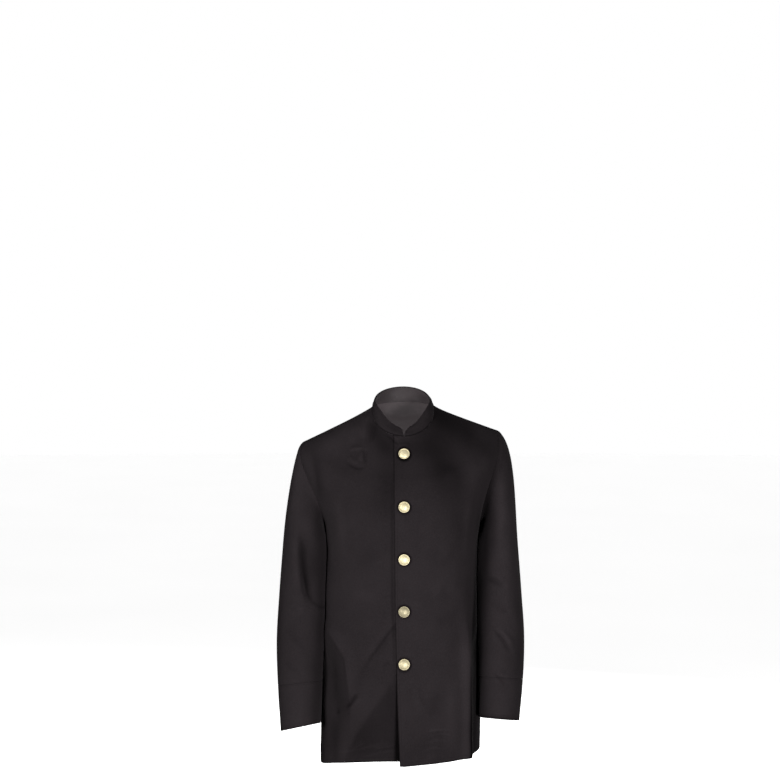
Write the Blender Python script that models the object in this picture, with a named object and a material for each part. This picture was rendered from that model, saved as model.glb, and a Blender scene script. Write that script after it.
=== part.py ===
"""Stand-collar waiter's jacket, filled out as if worn: ten cloth pieces and five shank buttons.

Units are metres. +Z is up, +X is the wearer's left and -Y is the front. The origin is the middle
of the neck opening at the height of its seam at the sides, where the wearer's neck and shoulders
carry it.
"""

import math
from collections import namedtuple

import bmesh
import bpy
import numpy as np
from mathutils import Matrix, Vector

# Cloth, from the outside in
CLOTH = 0.0020
SLEEVE_CLOTH = 0.0016
COLLAR_CLOTH = 0.0022
LINING = 0.0010
SEAM = 0.0003

# Front closure: the button line is X = 0. The overlap is narrower toward the hem.
OVERLAP_AT = (0.0, 0.22, 0.45, 1.0)
OVERLAP = (0.0092, 0.0150, 0.0195, 0.0225)
UNDERLAP = 0.018
BUTTON_COUNT = 5
FIRST_BUTTON_Z = -0.1025
BUTTON_SPACING = 0.111

# The torso's rings, hem to neck. "at" is a ring's place along the cloth, 0 at the hem and 1 at the
# neck seam. The fronts and the back reach front_y and back_y on the middle line, and a ring is
# widest at side_y. A larger front_fall or back_fall keeps more of the ring at the side's height.
Middle = namedtuple("Middle", "at front_z front_y front_fall back_z back_y back_fall side_y")
HEM_AT, HIP_AT, WAIST_AT, ARMPIT_AT, TIP_AT, NECK_AT = 0.0, 0.22, 0.45, 0.66, 0.86, 1.0
MIDDLE = (
    Middle(HEM_AT, -0.749, -0.117, 2.0, -0.762, 0.118, 1.5, 0.016),
    Middle(HIP_AT, -0.600, -0.118, 1.5, -0.600, 0.118, 1.5, 0.016),
    Middle(WAIST_AT, -0.420, -0.113, 1.5, -0.420, 0.104, 1.5, 0.012),
    Middle(ARMPIT_AT, -0.268, -0.117, 1.5, -0.262, 0.118, 1.5, 0.006),
    Middle(TIP_AT, -0.150, -0.103, 1.5, -0.104, 0.110, 1.5, 0.004),
    Middle(NECK_AT, -0.0645, -0.072, 0.9, 0.010, 0.058, 0.7, -0.004),
)

# Each side of a ring: the height and half width of its widest point, and how square its front is
# (2 is an ellipse, more is boxier).
Side = namedtuple("Side", "at z half square")
RIGHT_SIDE = (
    Side(HEM_AT, -0.780, 0.182, 3.2),
    Side(HIP_AT, -0.600, 0.182, 2.7),
    Side(WAIST_AT, -0.420, 0.174, 2.4),
    Side(ARMPIT_AT, -0.262, 0.173, 2.4),
    Side(TIP_AT, -0.0775, 0.218, 2.2),
    Side(NECK_AT, -0.007, 0.069, 2.0),
)
LEFT_SIDE = (
    Side(HEM_AT, -0.748, 0.168, 3.2),
    Side(HIP_AT, -0.600, 0.168, 3.1),
    Side(WAIST_AT, -0.420, 0.162, 2.5),
    Side(ARMPIT_AT, -0.262, 0.166, 2.4),
    Side(TIP_AT, -0.0520, 0.201, 2.2),
    Side(NECK_AT, -0.004, 0.067, 2.0),
)
BACK_SQUARE = 2.3
SHOULDER_PULL = 1.0
CHEST_BULGE = 0.006

# Armholes: how far the cut reaches in front of and behind the side line at mid height
ARMHOLE_FRONT = 0.050
ARMHOLE_BACK = 0.055
ARMHOLE_ROUND = 0.6

# Collar: the ring of its top edge, as the torso's rings
COLLAR_TOP = Middle(1.0, -0.046, -0.056, 2.2, 0.043, 0.051, 0.85, -0.002)
COLLAR_TOP_Z = 0.010
COLLAR_TOP_HALF = (0.0645, 0.0590)
COLLAR_END_GAP = 0.0012
COLLAR_SEAM = 0.0008
COLLAR_END_RADIUS = (0.014, 0.022)
COLLAR_END_HEIGHT = 0.06
COLLAR_BELLY = 0.0015
LINING_TRIM = 0.05

# Yoke lining: how far down the back it reaches, as a place along the cloth
YOKE_AT = 0.72
YOKE_MARGIN = 1

# Sleeves from the biceps to the end of the cuff. outer and inner are distances from the button
# line, drop is how much lower the outer edge is, and lift how much higher the front edge is.
Arm = namedtuple("Arm", "z outer inner front_y back_y drop lift")
RIGHT_ARM = (
    Arm(-0.300, 0.2655, 0.1640, -0.062, 0.072, 0.004, 0.000),
    Arm(-0.410, 0.2738, 0.1640, -0.060, 0.074, 0.002, 0.006),
    Arm(-0.515, 0.2785, 0.1680, -0.072, 0.058, 0.004, 0.014),
    Arm(-0.602, 0.2745, 0.1750, -0.088, 0.034, 0.010, 0.020),
    Arm(-0.695, 0.2670, 0.1810, -0.104, 0.008, 0.018, 0.024),
)
LEFT_ARM = (
    Arm(-0.300, 0.2512, 0.1550, -0.064, 0.070, 0.004, 0.000),
    Arm(-0.410, 0.2595, 0.1550, -0.062, 0.072, 0.002, 0.008),
    Arm(-0.510, 0.2640, 0.1550, -0.078, 0.054, 0.002, 0.018),
    Arm(-0.590, 0.2590, 0.1570, -0.098, 0.026, 0.006, 0.024),
    Arm(-0.674, 0.2490, 0.1590, -0.118, -0.004, 0.008, 0.028),
)
CAP_LEAVE = {"right": 0.30, "left": 0.58}
CAP_ARRIVE = 1.2
CUFF_INSET = 0.0006
BODY_GAP = 0.0016

# Folds on the fronts, seen from in front: a crease runs from (x0, z0) to (x1, z1), is twice width
# across and stands height proud of the cloth, or lies below it where height is negative.
Fold = namedtuple("Fold", "x0 z0 x1 z1 width height")
LEFT_FRONT_FOLDS = (
    Fold(0.137, -0.470, 0.139, -0.800, 0.010, 0.0050),
    Fold(0.157, -0.500, 0.157, -0.800, 0.011, -0.0065),
    Fold(0.040, -0.640, 0.085, -0.720, 0.030, -0.0035),
)
RIGHT_FRONT_FOLDS = (
    Fold(-0.172, -0.480, -0.135, -0.530, 0.018, 0.0040),
    Fold(-0.135, -0.530, -0.120, -0.610, 0.018, 0.0045),
    Fold(-0.168, -0.535, -0.148, -0.665, 0.020, -0.0065),
    Fold(-0.030, -0.470, -0.088, -0.570, 0.016, -0.0040),
)
HEM_DROP = (0.015, 0.0155)
FOLD_FADE = 0.030
FOLD_SIDE = (-0.005, -0.050)

# The right front's lower corner falls back beyond a line from the last button to the hem
FALL_START = (-0.012, -0.570)
FALL_END = (-0.130, -0.745)
FALL_SLOPE = 0.36
FALL_SOFT = 0.016
UNDERLAP_SINK = CLOTH + 2 * SEAM
UNDERLAP_BLEND = (-0.052, -0.024)

# Buttons
BUTTON_RADIUS = 0.0120
BUTTON_EDGE = 0.0022
BUTTON_DOME = 0.0016
BUTTON_RIM = 0.0011
SHANK_RADIUS = 0.0028
SHANK_HEIGHT = 0.0026
BUTTON_SIDES = 18

# How finely the cloth is divided
FRONT_COLUMNS = 15
BACK_COLUMNS = 21
SLEEVE_COLUMNS = 24
COLLAR_COLUMNS = 45
SKIRT_ROWS, ARMHOLE_ROWS, SHOULDER_ROWS = 12, 13, 5
CAP_ROWS, SLEEVE_ROWS, CUFF_ROWS, COLLAR_ROWS = 8, 10, 3, 5
DENSE = 181
DENSE_X, DENSE_WIDTH, DENSE_GAIN = 0.150, 0.018, 2.0
STEP = 1e-4

BLACK_CLOTH = ("black_cloth", (0.024, 0.020, 0.022), 0.85, 0.0)
GREY_LINING = ("grey_lining", (0.056, 0.048, 0.051), 0.60, 0.0)
GILT = ("gilt", (0.78, 0.66, 0.38), 0.30, 1.0)


def smooth_columns(table, key, at):
    """The table's columns at one place along it: cubic between rows, with each row's slope taken
    across its neighbours. key names the column that says where a row is."""
    places = [getattr(row, key) for row in table]
    if places[0] > places[-1]:
        table, places = table[::-1], places[::-1]
    values = np.array(table, float)
    slopes = np.gradient(values, places, axis=0)
    i = int(np.clip(np.searchsorted(places, at) - 1, 0, len(table) - 2))
    run = places[i + 1] - places[i]
    return hermite(
        values[i], slopes[i] * run, values[i + 1], slopes[i + 1] * run, (at - places[i]) / run
    )


def hermite(start, start_slope, end, end_slope, t):
    """The cubic that leaves start along start_slope and reaches end along end_slope."""
    return (
        start * (2 * t**3 - 3 * t**2 + 1)
        + start_slope * (t**3 - 2 * t**2 + t)
        + end * (3 * t**2 - 2 * t**3)
        + end_slope * (t**3 - t**2)
    )


def smooth_step(low, high, value):
    """0 below low, 1 above high, and an S curve between them."""
    t = np.clip((value - low) / (high - low), 0, 1)
    return t * t * (3 - 2 * t)


def unit(vectors):
    """The same vectors, 1 long."""
    return vectors / np.linalg.norm(vectors, axis=-1, keepdims=True)


def ring(angle, middle, right, left, back_square=BACK_SQUARE):
    """Points of one ring at these angles: 0 is the button line, 90 degrees the wearer's left
    side, 180 the middle of the back. In plan each quarter is a superellipse, and its height
    passes from the side's to the middle's as it nears the middle."""
    sine, cosine = np.sin(angle), np.cos(angle)
    on_left, in_front = sine >= 0, cosine >= 0
    half = np.where(on_left, left.half, right.half)
    side_z = np.where(on_left, left.z, right.z)
    depth = np.where(in_front, middle.side_y - middle.front_y, middle.back_y - middle.side_y)
    square = np.where(in_front, np.where(on_left, left.square, right.square), back_square)
    reach = ((np.abs(sine) / half) ** square + (np.abs(cosine) / depth) ** square) ** (-1 / square)
    middle_z = np.where(in_front, middle.front_z, middle.back_z)
    fall = np.where(in_front, middle.front_fall, middle.back_fall)
    toward = (np.abs(cosine) * reach / depth) ** fall
    return np.stack(
        [reach * sine, middle.side_y - reach * cosine, side_z + (middle_z - side_z) * toward], -1
    )


def table_ring(angle, at):
    """A ring of the torso's tables at one place along the cloth."""
    return ring(
        angle,
        Middle(*smooth_columns(MIDDLE, "at", at)),
        Side(*smooth_columns(RIGHT_SIDE, "at", at)),
        Side(*smooth_columns(LEFT_SIDE, "at", at)),
    )


def torso(angle, at):
    """Points on the outside of the jacket's body. Up to the armpit they are the tables' rings,
    from the shoulder tips to the neck they lie on straight lines between those two rings with a
    little belly, and between armpit and tips a cubic joins both."""
    if at <= ARMPIT_AT:
        return table_ring(angle, at)
    tip, neck = table_ring(angle, TIP_AT), table_ring(angle, NECK_AT)
    if at >= TIP_AT:
        t = (at - TIP_AT) / (NECK_AT - TIP_AT)
        belly = CHEST_BULGE * math.sin(math.pi * t) ** 2 * np.cos(angle) ** 2
        points = tip + (neck - tip) * t
        points[..., 1] -= belly * np.sign(np.cos(angle))
        return points
    armpit = table_ring(angle, ARMPIT_AT)
    run = TIP_AT - ARMPIT_AT
    rise = (armpit - table_ring(angle, ARMPIT_AT - STEP)) / STEP * run
    t = (at - ARMPIT_AT) / run
    return hermite(armpit, rise, tip, (neck - tip) * SHOULDER_PULL, t)


def torso_normal(angle, at):
    """Outward directions of the body's surface, from its slopes along and across the rings."""
    along = torso(angle + STEP, at) - torso(angle - STEP, at)
    high, low = min(at + STEP, NECK_AT), max(at - STEP, HEM_AT)
    across = torso(angle, high) - torso(angle, low)
    return unit(np.cross(along, across))


def angle_where(at, start, end, column, value):
    """The angle between start and end at which a ring's x (column 0) or y (column 1) is value."""
    angles = np.linspace(start, end, DENSE)
    places = torso(angles, at)[:, column]
    if places[0] > places[-1]:
        angles, places = angles[::-1], places[::-1]
    return float(np.interp(value, places, angles))


def armhole_share(at):
    """How far the armhole is cut away from the side line here: 0 at armpit and tip, 1 between."""
    t = (at - ARMPIT_AT) / (TIP_AT - ARMPIT_AT)
    return math.sin(math.pi * t) ** ARMHOLE_ROUND if 0 < t < 1 else 0.0


def armhole_angle(at, quarter):
    """Where a ring stops at the armhole, for the quarter that lies from its middle line (first
    angle) to its side line (second angle)."""
    middle_angle, side_angle = quarter
    share = armhole_share(at)
    if not share:
        return side_angle
    side_y = torso(np.array([side_angle]), at)[0, 1]
    in_front = math.cos(middle_angle) > 0
    reach = -ARMHOLE_FRONT if in_front else ARMHOLE_BACK
    return angle_where(at, middle_angle, side_angle, 1, side_y + reach * share)


LEFT_FRONT_QUARTER = (0.0, math.pi / 2)
RIGHT_FRONT_QUARTER = (0.0, -math.pi / 2)
LEFT_BACK_QUARTER = (math.pi, math.pi / 2)
RIGHT_BACK_QUARTER = (math.pi, 3 * math.pi / 2)


def even_angles(at, start, end, count, inset, dense_x=None):
    """Angles from start to end that divide the ring into even lengths, inset from both ends.
    Where dense_x is given, they lie closer together near that x."""
    angles = np.linspace(start, end, DENSE)
    points = torso(angles, at)
    lengths = np.linalg.norm(np.diff(points, axis=0), axis=1)
    run = np.r_[0, np.cumsum(lengths)]
    angles = np.interp(np.linspace(inset, run[-1] - inset, DENSE), run, angles)
    weights = np.ones(DENSE - 1)
    if dense_x is not None:
        off = (torso(angles, at)[1:, 0] - dense_x) / DENSE_WIDTH
        weights += DENSE_GAIN * np.exp(-(off**2))
    share = np.r_[0, np.cumsum(weights)]
    return np.interp(np.linspace(0, share[-1], count), share, angles)


def torso_places():
    """Rows of a body panel as places along the cloth: hem to armpit, to shoulder tip, to neck."""
    return np.r_[
        np.linspace(HEM_AT, ARMPIT_AT, SKIRT_ROWS),
        armhole_places()[1:],
        np.linspace(TIP_AT, NECK_AT, SHOULDER_ROWS)[1:],
    ]


def armhole_places():
    """The rows between armpit and shoulder tip, closer together at both ends. The sleeve's
    columns start at these rows' ends."""
    turn = np.linspace(0, math.pi, ARMHOLE_ROWS)
    return ARMPIT_AT + (TIP_AT - ARMPIT_AT) * (1 - np.cos(turn)) / 2


def fold_relief(points, folds):
    """How far the folds lift cloth that is seen from in front: a bell across each crease that
    fades at its ends and toward the side seams."""
    x, z = points[..., 0], points[..., 2]
    lift = np.zeros_like(x)
    for fold in folds:
        run = np.array([fold.x1 - fold.x0, fold.z1 - fold.z0])
        length = np.linalg.norm(run)
        along = ((x - fold.x0) * run[0] + (z - fold.z0) * run[1]) / length
        off = ((x - fold.x0) * run[1] - (z - fold.z0) * run[0]) / length
        fade = smooth_step(-FOLD_FADE, FOLD_FADE, along)
        fade = fade * (1 - smooth_step(length - FOLD_FADE, length + FOLD_FADE, along))
        lift += fold.height * fade * np.exp(-((off / fold.width) ** 2))
    return lift * smooth_step(*FOLD_SIDE, points[..., 1])


def hem_drop(points, side, drop):
    """How much lower a front hangs near the buttons than at its side seam: straight along the
    hem, fading out up the cloth."""
    toward = np.clip(1 - np.abs(points[..., 0]) / side, 0, 1)
    return drop * toward * smooth_step(-0.50, -0.75, points[..., 2])


def left_front(points, normals):
    """The overlapping front follows the torso, with its folds and its hem's drop."""
    shaped = points + normals * fold_relief(points, LEFT_FRONT_FOLDS)[..., None]
    shaped[..., 2] -= hem_drop(points, LEFT_SIDE[0].half, HEM_DROP[1])
    return shaped


def right_front(points, normals):
    """The underlapping front sinks beneath the other at the buttons, and its lower corner falls
    back beyond a slanting line."""
    x, z = points[..., 0], points[..., 2]
    run = np.subtract(FALL_END, FALL_START)
    past = ((x - FALL_START[0]) * -run[1] + (z - FALL_START[1]) * run[0]) / np.linalg.norm(run)
    fall = FALL_SLOPE * FALL_SOFT * np.logaddexp(0, past / FALL_SOFT)
    fall = fall * smooth_step(FALL_START[1] + 0.06, FALL_START[1] - 0.02, z)
    sink = UNDERLAP_SINK * smooth_step(*UNDERLAP_BLEND, x)
    lift = fold_relief(points, RIGHT_FRONT_FOLDS) - sink - fall
    shaped = points + normals * lift[..., None]
    shaped[..., 2] -= hem_drop(points, RIGHT_SIDE[0].half, HEM_DROP[0])
    return shaped


def plain(points, normals):
    """A panel that follows the torso."""
    return points


def body_panel(name, places, ends, columns, shape, layer, material, dense_x=None, margin=0):
    """A panel of the body between the two angles that ends gives for each row. layer is how deep
    its outer face lies inside the torso and how thick its wall is. margin leaves off that many
    columns on each side."""
    depth, thickness = layer
    outer, inner = [], []
    for at in places:
        angles = even_angles(at, *ends(at), columns, SEAM / 2, dense_x)
        points, normals = torso(angles, at), torso_normal(angles, at)
        normals[[0, -1]] = torso_normal(np.array(ends(at)), at)
        points, normals = points[margin : columns - margin], normals[margin : columns - margin]
        face = shape(points, normals) - normals * depth
        outer.append(face)
        inner.append(face - normals * thickness)
    return wall(name, np.array(outer), np.array(inner), False, material)


def wall(name, outer, inner, closed, material):
    """A closed solid between an outer and an inner grid of rows and columns. closed joins the
    last column to the first, which makes a tube."""
    rows, columns = outer.shape[:2]
    mesh = bmesh.new()
    out = [[mesh.verts.new(p) for p in row] for row in outer]
    into = [[mesh.verts.new(p) for p in row] for row in inner]
    spans = columns if closed else columns - 1
    for i in range(rows - 1):
        for j in range(spans):
            k = (j + 1) % columns
            mesh.faces.new((out[i][j], out[i][k], out[i + 1][k], out[i + 1][j]))
            mesh.faces.new((into[i][j], into[i + 1][j], into[i + 1][k], into[i][k]))
    for j in range(spans):
        k = (j + 1) % columns
        mesh.faces.new((out[0][j], into[0][j], into[0][k], out[0][k]))
        mesh.faces.new((out[-1][j], out[-1][k], into[-1][k], into[-1][j]))
    if not closed:
        for i in range(rows - 1):
            mesh.faces.new((out[i][0], out[i + 1][0], into[i + 1][0], into[i][0]))
            mesh.faces.new((out[i][-1], into[i][-1], into[i + 1][-1], out[i + 1][-1]))
    return finish(name, mesh, material)


def finish(name, mesh, material):
    """Makes the named object with its faces turned outward, shaded smooth."""
    bmesh.ops.triangulate(mesh, faces=mesh.faces)
    bmesh.ops.recalc_face_normals(mesh, faces=mesh.faces)
    data = bpy.data.meshes.new(name)
    mesh.to_mesh(data)
    mesh.free()
    data.shade_smooth()
    data.set_sharp_from_angle(angle=math.radians(50))
    data.materials.append(material)
    body = bpy.data.objects.new(name, data)
    bpy.context.scene.collection.objects.link(body)
    return body


def make_material(name, colour, roughness, metallic):
    """A plain Principled surface."""
    material = bpy.data.materials.new(name)
    material.use_nodes = True
    surface = material.node_tree.nodes["Principled BSDF"]
    surface.inputs["Base Color"].default_value = (*colour, 1.0)
    surface.inputs["Roughness"].default_value = roughness
    surface.inputs["Metallic"].default_value = metallic
    return material


def left_front_ends(at):
    """From the overlap's edge to the left side seam, armhole or shoulder seam."""
    overlap = float(np.interp(at, OVERLAP_AT, OVERLAP))
    return angle_where(at, -math.pi / 6, 0, 0, -overlap), armhole_angle(at, LEFT_FRONT_QUARTER)


def right_front_ends(at):
    """From the underlap's edge to the right side seam, armhole or shoulder seam."""
    return angle_where(at, 0, math.pi / 6, 0, UNDERLAP), armhole_angle(at, RIGHT_FRONT_QUARTER)


def back_ends(at):
    """From the left side seam, armhole or shoulder seam to the right one."""
    return armhole_angle(at, LEFT_BACK_QUARTER), armhole_angle(at, RIGHT_BACK_QUARTER)


def make_body(cloth, lining):
    """Both fronts, the back in one piece, and the lining of the back's upper part, which shows
    in the neck."""
    rows, layer = torso_places(), (0.0, CLOTH)
    body_panel(
        "front_left", rows, left_front_ends, FRONT_COLUMNS, left_front, layer, cloth, DENSE_X
    )
    body_panel(
        "front_right", rows, right_front_ends, FRONT_COLUMNS, right_front, layer, cloth, -DENSE_X
    )
    body_panel("back", rows, back_ends, BACK_COLUMNS, plain, layer, cloth)
    rows, layer = rows[rows > YOKE_AT], (CLOTH + SEAM, LINING)
    body_panel(
        "yoke_lining", rows, back_ends, BACK_COLUMNS, plain, layer, lining, margin=YOKE_MARGIN
    )


def armhole_loop(front_quarter, back_quarter):
    """The armhole's edge from the shoulder tip down the front and up the back: the panels' row
    ends on it, the body's outward directions there, and the directions that leave the body's
    cloth."""
    down = armhole_places()[::-1]
    edge = [(armhole_angle(at, front_quarter), at) for at in down]
    edge += [(armhole_angle(at, back_quarter), at) for at in down[::-1][1:-1]]
    points = np.array([torso(np.array([angle]), at)[0] for angle, at in edge])
    normals = np.array([torso_normal(np.array([angle]), at)[0] for angle, at in edge])
    tangents = unit(np.roll(points, -1, 0) - np.roll(points, 1, 0))
    leave = unit(np.cross(tangents, normals))
    inward = points.mean(0) - points
    return points, normals, leave * np.sign((leave * inward).sum())


def arm_ring(arm, side_sign, grow=0.0):
    """A ring of the sleeve: an ellipse between outer, inner, front and back, tilted by drop and
    lift. Its columns start at the outside and run by the front."""
    turn = np.arange(SLEEVE_COLUMNS) / SLEEVE_COLUMNS * 2 * math.pi
    outward, forward = np.cos(turn), np.sin(turn)
    centre_x, half_x = (arm.outer + arm.inner) / 2, (arm.outer - arm.inner) / 2 + grow
    centre_y, half_y = (arm.front_y + arm.back_y) / 2, (arm.back_y - arm.front_y) / 2 + grow
    height = arm.z - arm.drop / 2 * outward + arm.lift / 2 * forward
    return np.stack(
        [side_sign * (centre_x + half_x * outward), centre_y - half_y * forward, height], -1
    )


def arm_at(table, z):
    """The sleeve's table at one height."""
    return Arm(*smooth_columns(table, "z", z))


def clear_of_body(points, side_sign, gap):
    """Moves a sleeve's points outward until they are gap clear of the body below the armpit."""
    places = np.linspace(HEM_AT, ARMPIT_AT, DENSE)
    table, folds = (
        (LEFT_SIDE, LEFT_FRONT_FOLDS) if side_sign > 0 else (RIGHT_SIDE, RIGHT_FRONT_FOLDS)
    )
    sides = np.array([smooth_columns(table, "at", at) for at in places])
    middles = np.array([smooth_columns(MIDDLE, "at", at) for at in places])
    z, y = points[..., 2], points[..., 1]
    order = np.argsort(sides[:, 1])

    def column(values):
        return np.interp(z, sides[order, 1], values[order])

    half, square, side_y = column(sides[:, 2]), column(sides[:, 3]), column(middles[:, 7])
    in_front = y < side_y
    depth = np.where(in_front, side_y - column(middles[:, 2]), column(middles[:, 5]) - side_y)
    square = np.where(in_front, square, BACK_SQUARE)
    away = np.clip(np.abs(y - side_y) / depth, 0, 1) ** square
    surface = half * (1 - away) ** (1 / square)
    beside = np.stack([side_sign * surface, y, z], -1)
    surface = surface + np.where(in_front, np.maximum(fold_relief(beside, folds), 0), 0)
    over = surface + gap - points[..., 0] * side_sign
    moved = points.copy()
    moved[..., 0] += side_sign * np.maximum(over, 0)
    return moved


def tube_normals(grid):
    """Outward directions of a tube that is given by rings."""
    along = np.roll(grid, -1, 1) - np.roll(grid, 1, 1)
    down = np.gradient(grid, axis=0)
    normals = unit(np.cross(along, down))
    outward = grid - grid.mean(1, keepdims=True)
    return normals * np.sign((normals * outward).sum())


def sleeve_grid(side, table, side_sign, front_quarter, back_quarter):
    """The sleeve's outer face: from the armhole each column leaves the body's cloth, along it at
    the tip and square to it at the armpit, and bends down to the biceps ring, then follows the
    table to the cuff. Also its inner face."""
    points, normals, leave = armhole_loop(front_quarter, back_quarter)
    turn = np.arange(SLEEVE_COLUMNS)[:, None] / SLEEVE_COLUMNS * 2 * math.pi
    lean = math.pi / 4 * (1 - np.cos(turn))
    heading = unit(np.cos(lean) * leave + np.sin(lean) * normals)
    facing = unit(np.cos(lean) * normals - np.sin(lean) * leave)
    start = points + heading * SEAM
    biceps_z, wrist_z = table[0].z, table[-2].z
    biceps = arm_ring(table[0], side_sign)
    below = arm_ring(arm_at(table, biceps_z - STEP), side_sign)
    arrive = unit(below - biceps)
    span = np.linalg.norm(biceps - start, axis=-1, keepdims=True)
    rows = []
    for t in np.linspace(0, 1, CAP_ROWS):
        row = hermite(
            start, heading * span * CAP_LEAVE[side], biceps, arrive * span * CAP_ARRIVE, t
        )
        rows.append(clear_of_body(row, side_sign, BODY_GAP * smooth_step(0, 0.5, t)))
    for z in np.linspace(biceps_z, wrist_z + SEAM, SLEEVE_ROWS)[1:]:
        rows.append(clear_of_body(arm_ring(arm_at(table, z), side_sign), side_sign, BODY_GAP))
    outer = np.array(rows)
    directions = tube_normals(outer)
    directions[0] = facing
    return outer, outer - directions * SLEEVE_CLOTH


def make_sleeves(cloth):
    """Both sleeves and their cuff bands."""
    for side, table, side_sign, front_quarter, back_quarter in (
        ("right", RIGHT_ARM, -1, RIGHT_FRONT_QUARTER, RIGHT_BACK_QUARTER),
        ("left", LEFT_ARM, 1, LEFT_FRONT_QUARTER, LEFT_BACK_QUARTER),
    ):
        outer, inner = sleeve_grid(side, table, side_sign, front_quarter, back_quarter)
        wall("sleeve_" + side, outer, inner, True, cloth)
        heights = np.linspace(table[-2].z - SEAM, table[-1].z, CUFF_ROWS)
        cuff = np.array([arm_ring(arm_at(table, z), side_sign, -CUFF_INSET) for z in heights])
        cuff = clear_of_body(cuff, side_sign, BODY_GAP)
        inner = cuff - tube_normals(cuff) * SLEEVE_CLOTH
        wall("cuff_" + side, cuff, inner, True, cloth)


def collar_top(angle):
    """The ring of the collar's top edge."""
    right, left = (Side(1.0, COLLAR_TOP_Z, half, 2.0) for half in COLLAR_TOP_HALF)
    return ring(angle, COLLAR_TOP, right, left, 2.0)


def collar_grid(depth, first, last, thickness):
    """Outer and inner rows of the band between two shares of its height, 0 at the neck seam and
    1 at the top edge, depth inside its outer face, with rounded ends. At the neck seam its wall
    is square to the body's cloth."""
    end = angle_where(NECK_AT, -0.2, 0.2, 0, COLLAR_END_GAP / 2)
    angles = even_angles(NECK_AT, end, 2 * math.pi - end, COLLAR_COLUMNS, 0.0)
    base, top = torso(angles, NECK_AT), collar_top(angles)
    run = np.r_[0, np.cumsum(np.linalg.norm(np.diff(base, axis=0), axis=1))]
    from_end = np.minimum(run, run[-1] - run)
    radius = np.where(run < run[-1] / 2, COLLAR_END_RADIUS[1], COLLAR_END_RADIUS[0])
    inside = np.clip(1 - from_end / radius, 0, 1)
    height = COLLAR_END_HEIGHT + (1 - COLLAR_END_HEIGHT) * np.sqrt(1 - inside**2)
    rise = unit(top - base)
    out = unit(np.cross(np.gradient(base, axis=0), rise))
    outer, inner = [], []
    for share in np.linspace(first, last, COLLAR_ROWS):
        t = (share * height)[:, None]
        belly = COLLAR_BELLY * np.sin(math.pi * t)
        inward = -torso_normal(angles, NECK_AT) if share == 0 else -out
        face = base + rise * COLLAR_SEAM + (top - base) * t + out * belly + inward * depth
        outer.append(face)
        inner.append(face + inward * thickness)
    return np.array(outer), np.array(inner)


def make_collar(cloth, lining):
    """The stand collar and, just inside it, its lining, trimmed at both edges."""
    wall("collar", *collar_grid(0.0, 0.0, 1.0, COLLAR_CLOTH), False, cloth)
    depth = COLLAR_CLOTH + SEAM
    outer, inner = collar_grid(depth, 1.5 * LINING_TRIM, 1 - LINING_TRIM, LINING)
    wall("collar_lining", outer[:, 1:-1], inner[:, 1:-1], False, lining)


def make_button(name, z, gilt):
    """A turned shank button, facing out of the left front at this height: a shank, a flat back,
    a rounded rim and a low dome."""
    profile = [
        (0.0, SEAM),
        (SHANK_RADIUS, SEAM),
        (SHANK_RADIUS, SHANK_HEIGHT),
        (BUTTON_RADIUS * 0.93, SHANK_HEIGHT),
        (BUTTON_RADIUS, SHANK_HEIGHT + BUTTON_EDGE * 0.45),
        (BUTTON_RADIUS * 0.96, SHANK_HEIGHT + BUTTON_EDGE),
        (BUTTON_RADIUS - BUTTON_RIM * 1.6, SHANK_HEIGHT + BUTTON_EDGE),
        (BUTTON_RADIUS * 0.5, SHANK_HEIGHT + BUTTON_EDGE + BUTTON_DOME * 0.6),
        (0.0, SHANK_HEIGHT + BUTTON_EDGE + BUTTON_DOME),
    ]
    mesh = bmesh.new()
    verts = [mesh.verts.new((r, 0.0, h)) for r, h in profile]
    edges = [mesh.edges.new(pair) for pair in zip(verts, verts[1:])]
    bmesh.ops.spin(
        mesh, geom=verts + edges, cent=(0, 0, 0), axis=(0, 0, 1), angle=2 * math.pi,
        steps=BUTTON_SIDES, use_merge=True,
    )
    bmesh.ops.remove_doubles(mesh, verts=mesh.verts, dist=1e-6)
    at = place_on_button_line(z)
    angle = np.array([0.0])
    point, normal = torso(angle, at)[0], torso_normal(angle, at)[0]
    button = finish(name, mesh, gilt)
    facing = Vector(normal).to_track_quat("Z", "X").to_matrix().to_4x4()
    button.matrix_world = Matrix.Translation(Vector(point)) @ facing
    return button


def place_on_button_line(z):
    """The place along the cloth at which the button line has this height."""
    places = np.linspace(HEM_AT, NECK_AT, 4 * DENSE)
    heights = [torso(np.array([0.0]), at)[0, 2] for at in places]
    return float(np.interp(z, heights, places))


def main():
    for old in list(bpy.data.objects):
        bpy.data.objects.remove(old)
    cloth, lining, gilt = (make_material(*m) for m in (BLACK_CLOTH, GREY_LINING, GILT))
    make_body(cloth, lining)
    make_sleeves(cloth)
    make_collar(cloth, lining)
    for i in range(BUTTON_COUNT):
        make_button(f"button_{i + 1}", FIRST_BUTTON_Z - i * BUTTON_SPACING, gilt)


main()
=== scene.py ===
"""Head waiter's jacket with a stand collar, filled out as if worn, under soft studio light.

The cloth's form repeats the values of the fixed frame's solids, and every panel is a closed thin
shell worked out on a fine grid, with its creases, seams and turned edges. Metres, +Z up, -Y front.
"""

import math
from collections import namedtuple

import bpy
import numpy as np
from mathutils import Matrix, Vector


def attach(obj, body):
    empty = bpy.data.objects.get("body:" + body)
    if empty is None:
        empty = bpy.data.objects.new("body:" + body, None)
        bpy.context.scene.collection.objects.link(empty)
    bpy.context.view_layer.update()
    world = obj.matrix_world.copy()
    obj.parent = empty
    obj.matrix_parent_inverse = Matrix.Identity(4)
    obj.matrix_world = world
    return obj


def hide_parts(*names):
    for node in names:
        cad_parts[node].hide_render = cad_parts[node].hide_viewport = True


bl_info = {
    "name": "Head Waiter Jacket",
    "version": (1, 0, 0),
    "blender": (4, 5, 0),
    "location": "View3D > Sidebar > Jacket",
    "description": "Builds a black stand-collar waiter's jacket with gilt buttons, and its stage",
    "category": "Object",
}

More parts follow.
